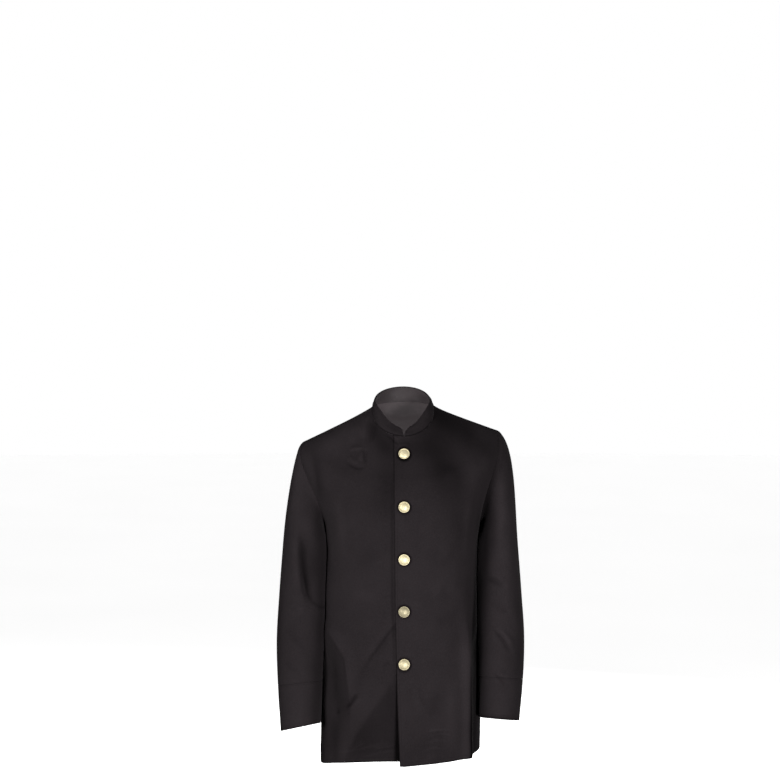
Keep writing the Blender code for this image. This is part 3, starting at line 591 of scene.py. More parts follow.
def armhole_places():
    """The rows between armpit and shoulder tip, closer together at both ends."""
    turn = np.linspace(0, math.pi, ARMHOLE_ROWS + 1)
    return ARMPIT_AT + (TIP_AT - ARMPIT_AT) * (1 - np.cos(turn)) / 2


def torso_places():
    """Rows of a body panel, hem to neck, crowded at both edges, where the cloth turns."""
    rows = np.r_[
        np.linspace(HEM_AT, ARMPIT_AT, SKIRT_ROWS),
        armhole_places()[1:],
        np.linspace(TIP_AT, NECK_AT, SHOULDER_ROWS)[1:],
    ]
    turned = EDGE_STEPS * CLOTH / 2 / BODY_LENGTH
    return np.r_[HEM_AT + turned, rows[1:-1], NECK_AT - turned[::-1]]


def row_marks(total, columns, radius):
    """Places along each row, in metres: even, and crowded where both ends turn."""
    turned = EDGE_STEPS * radius
    middle = np.linspace(0, 1, columns)[1:-1]
    inner = turned[-1] + (total - 2 * turned[-1]) * middle
    ends = np.zeros_like(total)
    return np.concatenate([turned + ends, inner, total - turned[::-1]], axis=-1)


def rounding(distance, radius):
    """The share of its thickness that cloth has this far from an edge, for a half-round edge."""
    return np.sqrt(np.clip(1 - (1 - np.clip(distance / radius, 0, 1)) ** 2, 0, 1))


def fold_relief(points, folds):
    """How far the large folds lift cloth seen from in front: a bell across each crease that fades
    at its ends and toward the side seams."""
    x, z = points[..., 0], points[..., 2]
    lift = np.zeros_like(x)
    for fold in folds:
        run = np.array([fold.x1 - fold.x0, fold.z1 - fold.z0])
        length = np.linalg.norm(run)
        along = ((x - fold.x0) * run[0] + (z - fold.z0) * run[1]) / length
        off = ((x - fold.x0) * run[1] - (z - fold.z0) * run[0]) / length
        fade = smooth_step(-FOLD_FADE, FOLD_FADE, along)
        fade = fade * (1 - smooth_step(length - FOLD_FADE, length + FOLD_FADE, along))
        lift += fold.height * fade * np.exp(-((off / fold.width) ** 2))
    return lift * smooth_step(*FOLD_SIDE, points[..., 1])


def crease_relief(points, creases):
    """How far the small creases lift the cloth: a bell of the distance to the crease's path, with
    its own width on each side, that fades in and out over the path's first and last parts."""
    x, z = points[..., 0], points[..., 2]
    lift = np.zeros_like(x)
    for crease in creases:
        knots = np.array(crease.path)
        runs = np.diff(knots, axis=0)
        lengths = np.linalg.norm(runs, axis=1)
        dx, dz = x[..., None] - knots[:-1, 0], z[..., None] - knots[:-1, 1]
        t = np.clip((dx * runs[:, 0] + dz * runs[:, 1]) / lengths**2, 0, 1)
        distance = np.hypot(dx - t * runs[:, 0], dz - t * runs[:, 1])
        nearest = distance.argmin(-1)[..., None]
        side = np.take_along_axis(dx * runs[:, 1] - dz * runs[:, 0], nearest, -1)[..., 0]
        before = np.r_[0, np.cumsum(lengths)[:-1]]
        along = np.take_along_axis(t * lengths + before, nearest, -1)[..., 0]
        total = lengths.sum()
        fade = smooth_step(0, CREASE_FADE * total, along)
        fade = fade * smooth_step(total, (1 - CREASE_FADE) * total, along)
        width = np.where(side > 0, crease.left, crease.right)
        off = np.take_along_axis(distance, nearest, -1)[..., 0]
        lift += crease.height * fade * np.exp(-((off / width) ** 2))
    return lift


def tone(points, creases, shades):
    """How much darker the cloth is painted: the soft shades, and painted shade in a crease, as
    a part of how deep it lies there, while a ridge is painted a little lighter."""
    sunk = np.clip(-crease_relief(points, creases) / DEEP_CREASE, -0.5, 1.0)
    return crease_relief(points, shades) + CREASE_SHADE * sunk


def wave_relief(points):
    """Slow unevenness: a sum of sine waves over the cloth as seen from in front."""
    x, y, z = points[..., 0], points[..., 1], points[..., 2]
    lift = np.zeros_like(x)
    for across, up, phase, height in WAVES:
        lift += height * np.sin(2 * math.pi * (across * x + up * z + 0.6 * across * y) + phase)
    return lift


def hem_drop(points, side, drop):
    """How much lower a front hangs near the buttons than at its side seam: straight along the
    hem, fading out up the cloth."""
    toward = np.clip(1 - np.abs(points[..., 0]) / side, 0, 1)
    return drop * toward * smooth_step(-0.50, -0.75, points[..., 2])


def hem_fold_relief(up):
    """The turned-up hem shows as a faint step at its upper edge. up is the height over the hem."""
    step = smooth_step(HEM_FOLD + 0.003, HEM_FOLD - 0.002, up)
    ridge = np.exp(-(((up - HEM_FOLD) / HEM_RIDGE) ** 2))
    return HEM_FOLD_HEIGHT * (0.7 * step + 0.8 * ridge) * smooth_step(0, 0.004, up)


def button_offsets(points):
    """How far each place is from each button's middle, as seen from in front."""
    for i in range(BUTTON_COUNT):
        yield np.hypot(points[..., 0], points[..., 2] - FIRST_BUTTON_Z + i * BUTTON_SPACING)


def button_relief(points):
    """The cloth is drawn in a little round each shank."""
    return sum(
        -BUTTON_DENT * np.exp(-((off / BUTTON_DENT_RADIUS) ** 2)) for off in button_offsets(points)
    )


def small_relief(points, seams, strength, creases, side):
    """Small creases and slow unevenness, fading out at seams and, between side's two values of y,
    toward the sides."""
    small = crease_relief(points, creases) + wave_relief(points)
    return strength * small * seams * smooth_step(*side, points[..., 1])


def left_front(points, normals, up, seams, strength):
    """The overlapping front: the torso, its folds and creases, and its hem's drop."""
    lift = fold_relief(points, LEFT_FRONT_FOLDS) + button_relief(points) + hem_fold_relief(up)
    lift += small_relief(points, seams, strength, LEFT_FRONT_CREASES, FRONT_CREASE_SIDE)
    shaped = points + normals * lift[..., None]
    shaped[..., 2] -= hem_drop(points, LEFT_SIDE[0].half, HEM_DROP[1])
    return shaped


def right_front(points, normals, up, seams, strength):
    """The underlapping front sinks beneath the other at the buttons, and its lower corner falls
    back beyond a slanting line."""
    x, z = points[..., 0], points[..., 2]
    run = np.subtract(FALL_END, FALL_START)
    past = ((x - FALL_START[0]) * -run[1] + (z - FALL_START[1]) * run[0]) / np.linalg.norm(run)
    fall = FALL_SLOPE * FALL_SOFT * np.logaddexp(0, past / FALL_SOFT)
    fall = fall * smooth_step(FALL_START[1] + 0.06, FALL_START[1] - 0.02, z)
    sink = UNDERLAP_SINK * smooth_step(*UNDERLAP_BLEND, x)
    lift = fold_relief(points, RIGHT_FRONT_FOLDS) - sink - fall
    lift += button_relief(points) + hem_fold_relief(up)
    lift += small_relief(points, seams, strength, RIGHT_FRONT_CREASES, FRONT_CREASE_SIDE)
    shaped = points + normals * lift[..., None]
    shaped[..., 2] -= hem_drop(points, RIGHT_SIDE[0].half, HEM_DROP[0])
    return shaped


def back_lining(points, normals, up, seams, strength):
    """Cloth on the back without its hem: the torso with hung folds."""
    lift = small_relief(points, seams, strength, BACK_CREASES, BACK_CREASE_SIDE)
    return points + normals * lift[..., None]


def back(points, normals, up, seams, strength):
    """The back: the torso with hung folds and a turned-up hem."""
    shaped = back_lining(points, normals, up, seams, strength)
    return shaped + normals * (hem_fold_relief(up) * seams)[..., None]


def body_tone(points, across, up, shape):
    """Painted shade of each place of a body panel: its creases and shades, the hem's shade, and
    on the overlap a shadow along its edge and a dark ring on the cloth round each button."""
    shade = tone(points, *PANEL_MARKS[shape])
    if shape is left_front:
        shade += FRONT_EDGE_SHADE * smooth_step(*FRONT_EDGE, across)
        for off in button_offsets(points):
            shade += BUTTON_SHADE * smooth_step(*BUTTON_RING, off)
    return shade + HEM_SHADE * smooth_step(*HEM_EDGE, up)


PANEL_MARKS = {
    left_front: (LEFT_FRONT_CREASES, LEFT_FRONT_SHADES),
    right_front: (RIGHT_FRONT_CREASES, RIGHT_FRONT_SHADES),
    back: (BACK_CREASES, BACK_SHADES),
}


def body_panel(rows, ends, columns, shape, depth, thickness, strength, margin=0.0):
    """A body panel between the angles that ends gives for each row, as its middle surface, its
    half thicknesses, its outward directions and its places across and up in metres. The cloth is
    depth inside the torso, and margin is the share of a row left off at each side. Free edges are
    half round, and sewn ones turn tightly."""
    at = rows[:, None]
    start, end = ends(at)
    fine = start + (end - start) * np.linspace(0, 1, FINE)
    run = lengths_along(torso(fine, at), 1)
    total = run[:, -1:]
    inset = margin * total - SEWN_LAP / 2
    marks = row_marks(total - 2 * inset, columns, thickness / 2)
    angles = between(fine, run, marks + inset)
    points, normals = torso(angles, at), torso_normal(angles, at)
    normals[:, [0, -1]] = torso_normal(np.concatenate([start, end], 1), at)
    up = lengths_along(points, 0).mean(1, keepdims=True) + np.zeros_like(marks)
    seams = smooth_step(0, NECK_FADE, up[-1:] - up)
    seams = seams * smooth_step(0, SIDE_FADE, total - marks - inset)
    if shape in (back, back_lining):
        seams = seams * smooth_step(0, SIDE_FADE, marks + inset)
    middle = shape(points, normals, up, seams, strength) - normals * (depth + thickness / 2)
    half = thickness / 2 * rounding(up, thickness / 2) * rounding(up[-1:] - up, SEWN_TURN)
    first_turn = SEWN_TURN if shape is back else thickness / 2
    half = half * rounding(marks, first_turn) * rounding(marks[:, -1:] - marks, SEWN_TURN)
    return middle, half, normals, marks, up, points


def quads(index, wraps):
    """Every square of a grid of indices as four corners; wraps joins last column to first."""
    if wraps:
        index = np.concatenate([index, index[:, :1]], 1)
    corners = (index[:-1, :-1], index[:-1, 1:], index[1:, 1:], index[1:, :-1])
    return np.stack(corners, -1).reshape(-1, 4)


def add_piece(name, points, faces, material):
    """Adds a smooth mesh of one material to the scene."""
    mesh = bpy.data.meshes.new(name)
    mesh.from_pydata(points.tolist(), [], faces)
    mesh.shade_smooth()
    mesh.materials.append(material)
    piece = bpy.data.objects.new(name, mesh)
    bpy.context.scene.collection.objects.link(piece)
    return piece


def add_map(mesh, title, places):
    """Gives the mesh a map of its own, from a place for each corner of its faces."""
    layer = mesh.uv_layers.new(name=title)
    layer.data.foreach_set("uv", places.ravel().astype(np.float32))


def add_mark(mesh, title, values):
    """Gives the mesh a mark, a number at each point."""
    mark = mesh.attributes.new(title, "FLOAT", "POINT")
    mark.data.foreach_set("value", values.astype(np.float32))


def shell(
    name, middle, half, normals, weave, edge, material, wraps=False, lined=None, shade=None
):
    """A closed thin piece: its two faces stand half to each side of the middle surface, and run
    into each other at the grid's edges, where half is 0. weave holds metres across and up the
    cloth, edge the distance from the nearest sewn edge and the place along it; a grid that wraps
    has one more column in them. lined is how much of the inner face is lining, and shade how much
    darker the outer face is."""
    rows, columns = middle.shape[:2]
    offset = normals * half[..., None]
    outer, inner = middle + offset, middle - offset
    out = np.arange(rows * columns).reshape(rows, columns)
    core = (slice(1, -1), slice(None) if wraps else slice(1, -1))
    into = out.copy()
    into[core] = np.arange(into[core].size).reshape(into[core].shape) + rows * columns
    points = np.concatenate([outer.reshape(-1, 3), inner[core].reshape(-1, 3)])
    front, rear = quads(out, wraps), quads(into, wraps)
    crossed = np.cross(
        points[front[:, 2]] - points[front[:, 0]], points[front[:, 3]] - points[front[:, 1]]
    )
    sample = normals[:-1, : columns if wraps else columns - 1].reshape(-1, 3)
    flip = (crossed * sample).sum() < 0
    if flip:
        front = front[:, ::-1]
    else:
        rear = rear[:, ::-1]
    piece = add_piece(name, points, np.concatenate([front, rear]).tolist(), material)
    corners = np.arange(weave[0].size).reshape(weave[0].shape)
    loops = quads(corners, False)
    order = np.concatenate([loops[:, ::-1], loops] if flip else [loops, loops[:, ::-1]]).ravel()
    for title, (across, up) in (("weave", weave), ("edge", edge)):
        add_map(piece.data, title, np.stack([across.ravel()[order], up.ravel()[order]], -1))
    inside, outside = np.zeros((2, len(points)))
    if lined is not None:
        inside[rows * columns :] = lined[core].ravel()
    # the shade mark is painted shade on the outer face, and painted light where it is below 0
    if shade is not None:
        outside[: rows * columns] = np.clip(shade, *SHADE_RANGE).ravel()
    add_mark(piece.data, "lined", inside)
    add_mark(piece.data, "shade", outside)
    piece.data.validate()
    return piece


def dress(piece, node):
    """Puts the piece in the place of its solid: hangs it on the root body and hides the solid."""
    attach(piece, "root")
    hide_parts(node)


def armhole_loop(front_quarter, back_quarter):
    """The armhole's edge from the shoulder tip down the front and up the back, the body's outward
    directions there, and the directions that leave the body's cloth."""
    down = armhole_places()[::-1][:, None]
    angles = np.concatenate(
        [armhole_angle(down, front_quarter), armhole_angle(down[::-1][1:-1], back_quarter)]
    )
    at = np.concatenate([down, down[::-1][1:-1]])
    points, normals = torso(angles, at)[:, 0], torso_normal(angles, at)[:, 0]
    tangents = unit(np.roll(points, -ARMHOLE_REACH, 0) - np.roll(points, ARMHOLE_REACH, 0))
    leave = unit(np.cross(tangents, normals))
    inward = points.mean(0) - points
    return points, normals, leave * np.sign((leave * inward).sum())


def arm_rings(table, heights, side_sign, columns, grow):
    """Rings of the sleeve at these heights: ellipses between outer, inner, front and back, tilted
    by drop and lift. Columns start at the outside and run by the front. grow widens each ring."""
    turn = np.arange(columns) / columns * 2 * math.pi
    outward, forward = np.cos(turn), np.sin(turn)
    arm = Arm(*(column[:, None] for column in smooth_columns(table, "z", heights)))
    centre_x, half_x = (arm.outer + arm.inner) / 2, (arm.outer - arm.inner) / 2 + grow
    centre_y, half_y = (arm.front_y + arm.back_y) / 2, (arm.back_y - arm.front_y) / 2 + grow
    height = arm.z - arm.drop / 2 * outward + arm.lift / 2 * forward
    x = side_sign * (centre_x + half_x * outward)
    return np.stack([x, centre_y - half_y * forward, height], -1)


def clear_of_body(points, side_sign, gap):
    """Moves a sleeve's points outward until they are gap clear of the body below the armpit."""
    places = np.linspace(HEM_AT, ARMPIT_AT, FINE)
    table, folds = (
        (LEFT_SIDE, LEFT_FRONT_FOLDS) if side_sign > 0 else (RIGHT_SIDE, RIGHT_FRONT_FOLDS)
    )
    side = Side(*smooth_columns(table, "at", places))
    middle = Middle(*smooth_columns(MIDDLE, "at", places))
    order = np.argsort(side.z)
    y, z = points[..., 1], points[..., 2]
    half, square, side_y, front_y, back_y = (
        np.interp(z, side.z[order], column[order])
        for column in (side.half, side.square, middle.side_y, middle.front_y, middle.back_y)
    )
    in_front = y < side_y
    depth = np.where(in_front, side_y - front_y, back_y - side_y)
    square = np.where(in_front, square, BACK_SQUARE)
    away = np.clip(np.abs(y - side_y) / depth, 0, 1) ** square
    surface = half * (1 - away) ** (1 / square)
    beside = np.stack([side_sign * surface, y, z], -1)
    surface = surface + np.where(in_front, np.maximum(fold_relief(beside, folds), 0), 0)
    moved = points.copy()
    moved[..., 0] += side_sign * np.maximum(surface + gap - points[..., 0] * side_sign, 0)
    return moved


def tube_normals(grid):
    """Outward directions of a tube that is given by rings."""
    along = np.roll(grid, -1, 1) - np.roll(grid, 1, 1)
    normals = unit(np.cross(along, np.gradient(grid, axis=0)))
    outward = grid - grid.mean(1, keepdims=True)
    return normals * np.sign((normals * outward).sum())


def sleeve_relief(points, normals, creases, strength):
    """Creases on the sleeve's front and back, fading toward its sides, over slow unevenness."""
    front, rear = creases
    facing = normals[..., 1]
    lift = crease_relief(points, front) * smooth_step(*SLEEVE_FRONT, facing)
    lift += crease_relief(points, rear) * smooth_step(*SLEEVE_BACK, facing)
    return strength * (lift + wave_relief(points) * smooth_step(*SLEEVE_WAVES, np.abs(facing)))


def sleeve_tone(points, normals, creases, shades):
    """Painted shade of each place of a sleeve: its front's shades and both faces' creases."""
    front, rear = creases
    facing = normals[..., 1]
    shade = tone(points, front, shades) * smooth_step(0.25, -0.25, facing)
    return shade + tone(points, rear, ()) * smooth_step(*SLEEVE_BACK, facing)


def sleeve_grid(side, table, side_sign, quarters, creases, strength):
    """The sleeve's middle surface and outward directions: from the armhole each column leaves the
    body's cloth, along it at the tip and square to it at the armpit, bends down to the biceps
    ring, and follows the table to the cuff."""
    points, normals, leave = armhole_loop(*quarters)
    columns = len(points)
    turn = np.arange(columns)[:, None] / columns * 2 * math.pi
    lean = math.pi / 4 * (1 - np.cos(turn))
    heading = unit(np.cos(lean) * leave + np.sin(lean) * normals)
    facing = unit(np.cos(lean) * normals - np.sin(lean) * leave)
    start = points + heading * SEAM
    biceps_z, wrist_z = table[0].z, table[-2].z
    biceps, below = arm_rings(table, np.array([biceps_z, biceps_z - STEP]), side_sign, columns, 0)
    arrive = unit(below - biceps)
    span = np.linalg.norm(biceps - start, axis=-1, keepdims=True)
    turned = EDGE_STEPS * SEWN_TURN
    t = np.r_[turned / CAP_LENGTH, np.linspace(0, 1, CAP_ROWS)[1:]][:, None, None]
    cap = hermite(start, heading * span * CAP_LEAVE[side], biceps, arrive * span * CAP_ARRIVE, t)
    heights = np.r_[
        np.linspace(biceps_z, wrist_z + CUFF_SEAM, SLEEVE_ROWS)[1:-1],
        wrist_z + CUFF_SEAM + turned[::-1],
    ]
    lower = arm_rings(table, heights, side_sign, columns, 0)
    share = np.concatenate([t, np.ones((len(heights), 1, 1))])
    gap = BODY_GAP * smooth_step(0, CAP_CLEAR, share[:, :, 0])
    outer = clear_of_body(np.concatenate([cap, lower]), side_sign, gap)
    directions = tube_normals(outer)
    blend = smooth_step(0, CAP_TURN, share)
    directions = unit(facing * (1 - blend) + directions * blend)
    down = lengths_along(outer, 0)
    sewn = smooth_step(0, ARMHOLE_FADE, down) * smooth_step(0, CUFF_FADE, down[-1:] - down)
    ridge = CAP_RIDGE * np.exp(-(((down - CAP_RIDGE_AT) / CAP_RIDGE_WIDTH) ** 2))
    ridge = ridge * smooth_step(-0.2, 0.6, np.cos(turn.T))
    lift = sleeve_relief(outer, directions, creases, strength) * sewn + ridge
    middle = outer + directions * (lift - SLEEVE_CLOTH / 2)[..., None]
    half = SLEEVE_CLOTH / 2 * rounding(np.minimum(down, down[-1:] - down), SEWN_TURN)
    return middle, half, directions, down


def with_last(values):
    """The same grid with its first column again at the end."""
    return np.concatenate([values, values[:, :1]], 1)


def round_tube(grid):
    """Metres round a tube, with one more column that closes it."""
    run = lengths_along(with_last(grid), 1)
    return run / run[:, -1:] * run[:, -1:].mean()


def cuff_grid(table, side_sign, columns):
    """The cuff band's middle surface: below the sleeve's seam it follows the table, and above it a
    narrower allowance reaches up inside the sleeve."""
    wrist_z, end_z = table[-2].z, table[-1].z
    turned = EDGE_STEPS * SLEEVE_CLOTH / 2
    band = np.linspace(wrist_z - 0.0002, end_z, CUFF_ROWS)[:-1]
    heights = np.r_[wrist_z + CUFF_TUCK, band, end_z + turned[::-1]]
    inset = CUFF_INSET + CUFF_TUCK_INSET * smooth_step(-0.0002, 0.0001, heights - wrist_z)
    grid = arm_rings(table, heights, side_sign, columns, -inset[:, None])
    grid = clear_of_body(grid, side_sign, BODY_GAP)
    directions = tube_normals(grid)
    down = lengths_along(grid, 0)
    half = SLEEVE_CLOTH / 2 * rounding(np.minimum(down, down[-1:] - down), SLEEVE_CLOTH / 2)
    lift = 0.5 * wave_relief(grid) * smooth_step(*SLEEVE_WAVES, np.abs(directions[..., 1]))
    lift = lift * smooth_step(0, 0.010, down - CUFF_TUCK[0])
    middle = grid + directions * (lift - SLEEVE_CLOTH / 2)[..., None]
    return middle, half, directions, down


def collar_top(angle):
    """The ring of the collar's top edge."""
    right, left = (Side(1.0, COLLAR_TOP_Z, half, 2.0) for half in COLLAR_TOP_HALF)
    return ring(angle, COLLAR_TOP, right, left, 2.0)


def collar_grid(depth, first, last, thickness, trim=0.0):
    """The stand collar or its lining between two shares of its height, depth inside the outer
    face: straight lines from the neck ring to the top ring with a little belly and slow waves,
    and rounded ends whose height follows a quarter ellipse of the distance from the end."""
    end = angle_where(np.array([[NECK_AT]]), -0.2, 0.2, 0, COLLAR_END_GAP / 2)[0, 0]
    fine = np.linspace(end, 2 * math.pi - end, 8 * FINE)
    run = lengths_along(torso(fine, NECK_AT), 0)
    total = run[-1]
    quarter = 1 - np.cos(np.linspace(0, math.pi / 2, COLLAR_END_COLUMNS))
    right_end, left_end = (
        trim + np.sort(np.r_[quarter * radius, EDGE_STEPS[1:-1] * thickness / 2])
        for radius in COLLAR_END_RADIUS
    )
    inner = np.linspace(left_end[-1], total - right_end[-1], COLLAR_MIDDLE_COLUMNS)[1:-1]
    marks = np.r_[left_end, inner, total - right_end[::-1]]
    angles = np.interp(marks, run, fine)
    base, top = torso(angles, NECK_AT), collar_top(angles)
    from_end = np.minimum(marks, total - marks)
    radius = np.where(marks < total / 2, COLLAR_END_RADIUS[1], COLLAR_END_RADIUS[0])
    inside = np.clip(1 - from_end / radius, 0, 1)
    height = COLLAR_END_HEIGHT + (1 - COLLAR_END_HEIGHT) * np.sqrt(1 - inside**2)
    tall = np.linalg.norm(top - base, axis=-1)
    rise = unit(top - base)
    out = unit(np.cross(np.gradient(base, axis=0), rise))
    turned = EDGE_STEPS * thickness / 2 / COLLAR_LENGTH
    share = np.r_[turned, np.linspace(0, 1, COLLAR_ROWS)[1:-1], 1 - turned[::-1]]
    share = np.sort(first + (last - first) * share)[:, None]
    t = share * height
    belly = COLLAR_BELLY * np.sin(math.pi * t)
    square = smooth_step(0.16, 0.0, share)[..., None]
    facing = unit(out * (1 - square) + torso_normal(angles, NECK_AT) * square)
    ease = np.sin(2 * math.pi * (marks * COLLAR_WAVES + 1.3 * t)) * np.sin(math.pi * t)
    belly = belly + COLLAR_EASE * ease
    face = base + rise * COLLAR_SEAM + (top - base) * t[..., None] + out * belly[..., None]
    middle = face - facing * (depth + thickness / 2)
    over, under = (last * height - t) * tall, (t - first * height) * tall
    beside = (from_end - trim) + np.zeros_like(t)
    half = thickness / 2 * rounding(over, thickness / 2) * rounding(under, SEWN_TURN)
    half = half * rounding(beside, thickness / 2)
    across = marks + np.zeros_like(t)
    return middle, half, facing, across, t * tall, np.minimum(over, np.hypot(beside, 0 * over))


class Value:
    """A shader socket that takes part in sums: each operation adds its Math node."""

    def __init__(self, graph, socket):
        self.graph, self.socket = graph, socket

    def math(self, operation, *others):
        values = dict(enumerate((self, *others)))
        return self.graph.node("ShaderNodeMath", {"operation": operation}, values)

    def __add__(self, other):
        return self.math("ADD", other)

    def __sub__(self, other):
        return self.math("SUBTRACT", other)

    def __mul__(self, other):
        return self.math("MULTIPLY", other)

    def __rsub__(self, other):
        return (self * -1.0) + other

    __radd__, __rmul__ = __add__, __mul__

    def between(self, low, high):
        """0 at low, 1 at high, and an S curve between them."""
        return self.graph.node(
            "ShaderNodeMapRange", {"interpolation_type": "SMOOTHSTEP"},
            {"Value": self, "From Min": low, "From Max": high},
        )


class Graph:
    """The nodes of one material."""

    def __init__(self, name):
        self.material = bpy.data.materials.new(name)
        self.material.use_nodes = True
        self.tree = self.material.node_tree
        self.surface = self.tree.nodes["Principled BSDF"]
        self.place = self.node("ShaderNodeTexCoord", {}, {}, "Object")

    def node(self, kind, settings, inputs, output=0):
        """Adds a node: its settings first, then a value or a link for each socket."""
        node = self.tree.nodes.new(kind)
        for name, value in settings.items():
            setattr(node, name, value)
        self.feed(node, inputs)
        return Value(self, node.outputs[output])

    def feed(self, node, inputs):
        """Gives sockets their values or links."""
        for name, value in inputs.items():
            if isinstance(value, Value):
                self.tree.links.new(value.socket, node.inputs[name])
            else:
                node.inputs[name].default_value = value

    def pair(self, uv_map):
        """Both numbers of one of the piece's own maps."""
        both = self.node("ShaderNodeUVMap", {"uv_map": uv_map}, {})
        parts = self.tree.nodes.new("ShaderNodeSeparateXYZ")
        self.feed(parts, {0: both})
        return Value(self, parts.outputs[0]), Value(self, parts.outputs[1])

    def noise(self, scale, detail=2.0, roughness=0.5):
        """Cloudy noise, 0 to 1."""
        inputs = {"Vector": self.place, "Scale": scale, "Detail": detail, "Roughness": roughness}
        return self.node("ShaderNodeTexNoise", {}, inputs)

    def mix(self, share, first, second):
        """A colour between two."""
        inputs = {0: share, 6: first, 7: second}
        return self.node("ShaderNodeMix", {"data_type": "RGBA"}, inputs, 2)

    def mark(self, name):
        """One of the piece's own marks, a number at each point."""
        return self.node("ShaderNodeAttribute", {"attribute_name": name}, {}, "Fac")

    def scale(self, colour, share):
        """A colour times a number."""
        return self.node("ShaderNodeVectorMath", {"operation": "SCALE"}, {0: colour, 3: share})

    def bump(self, height, distance, strength, normal=None):
        """Relief of this height in metres."""
        inputs = {"Height": height, "Distance": distance, "Strength": strength}
        if normal is not None:
            inputs["Normal"] = normal
        return self.node("ShaderNodeBump", {}, inputs)


def rgba(colour, gain=1.0):
    """A colour socket's value, made lighter or darker."""
    return (*(min(channel * gain, 1.0) for channel in colour), 1.0)


def stitches(graph, length, at):
    """A row of stitches this far from the sewn edge: thread where the first number is 1, and the
    dent it is sunk in where the second is."""
    off, along = graph.pair("edge")
    beside = (off - at).math("ABSOLUTE")
    dash = (along * (2 * math.pi / length)).math("SINE").between(-0.75, -0.45)
    return (1.0 - beside.between(0.00018, 0.00038)) * dash, 1.0 - beside.between(0.0004, 0.0016)


def make_cloth(name, settings, sewn=STITCHES_AT):
    """Black wool serge: twill ribs and fibres in relief, faint mottling, a soft nap, worn edges,
    one row of stitches, lining on what the piece marks as lined, and the painted shade and
    painted light of its shade mark."""
    graph = Graph(name)
    across, up = graph.pair("weave")
    turn = 2 * math.pi / settings.weave
    ribs = ((across + up) * turn).math("SINE")
    yarns = ((across - up * 0.6) * (turn * 1.7)).math("SINE")
    fibres = graph.noise(2200.0, 2.0, 0.7)
    flecks = graph.noise(420.0, 3.0, 0.6)
    mottle = graph.noise(13.0, 4.0, 0.55)
    clouds = graph.noise(4.5, 2.0, 0.5)
    thread, dent = stitches(graph, settings.stitch, sewn)
    off = graph.pair("edge")[0]
    worn = (1.0 - off.between(0.0002, 0.0032)) * graph.noise(60.0, 3.0, 0.6).between(0.3, 0.7)
    lined = graph.mark("lined")
    shade = mottle.between(0.25, 0.75) * 0.55 + clouds.between(0.3, 0.7) * 0.45
    cloth = graph.mix(shade, rgba(settings.colour, 0.84), rgba(settings.colour, 1.15))
    for share, gain in (
        (flecks.between(0.35, 0.75) * 0.5, 1.5), (ribs.between(-0.9, 0.5) * -0.25 + 0.25, 0.55),
        (worn * 0.22, 2.0), (thread * 0.6, 0.45),
    ):
        cloth = graph.mix(share, cloth, rgba(settings.colour, gain))
    # painted shade and painted light: the piece's shade mark darkens the cloth, or lightens it
    # below 0
    cloth = graph.scale(cloth, 1.0 - graph.mark("shade"))
    satin = graph.mix(shade, rgba(settings.lining, 0.62), rgba(settings.lining, 0.80))
    rough = 0.86 - shade * 0.10 - worn * 0.12 - thread * 0.18 - lined * 0.30
    height = ribs * 0.45 + yarns * 0.20 + fibres * 0.8 + thread * 1.6 - dent * 0.9
    relief = graph.bump(height * (1.0 - lined * 0.7), 0.00010, 0.8)
    rumples = graph.noise(34.0, 3.0, 0.5) + graph.noise(95.0, 2.0, 0.5) * 0.3
    relief = graph.bump(rumples, 0.0011, 0.55, relief)
    graph.feed(graph.surface, {
        "Base Color": graph.mix(lined, cloth, satin), "Roughness": rough, "Normal": relief,
        "Sheen Weight": 0.03, "Sheen Roughness": 0.45, "Sheen Tint": (0.92, 0.86, 0.88, 1.0),
        "Specular IOR Level": 0.0,
    })
    return graph.material


def make_lining(name, settings, gain):
    """Grey lining: a fine satin weave with faint streaks along it and soft mottling, and gain's
    painted shade.
    """
    graph = Graph(name)
    across, up = graph.pair("weave")
    turn = 2 * math.pi / (settings.weave * 0.6)
    ribs = ((across * 2.0 + up) * turn).math("SINE")
    streaks = graph.node(
        "ShaderNodeTexNoise", {"noise_dimensions": "2D"},
        {"Vector": graph.node("ShaderNodeCombineXYZ", {}, {0: across * 900.0, 1: up * 22.0}),
         "Scale": 1.0, "Detail": 2.0},
    )
    clouds = graph.noise(18.0, 3.0, 0.5)
    shade = streaks * 0.4 + clouds * 0.6
    # painted shade: the lining's colour scaled down by gain
    colour = graph.mix(shade.between(0.3, 0.7), rgba(settings.lining, 0.93 * gain),
                       rgba(settings.lining, 1.08 * gain))
    relief = graph.bump(ribs * 0.4 + streaks * 0.8, 0.00007, 0.7)
    relief = graph.bump(graph.noise(40.0, 2.0, 0.5), 0.0008, 0.5, relief)
    graph.feed(graph.surface, {
        "Base Color": colour, "Roughness": 0.56 - clouds * 0.10, "Normal": relief,
        "Sheen Weight": 0.03, "Sheen Roughness": 0.5, "Specular IOR Level": 0.08,
    })
    return graph.material


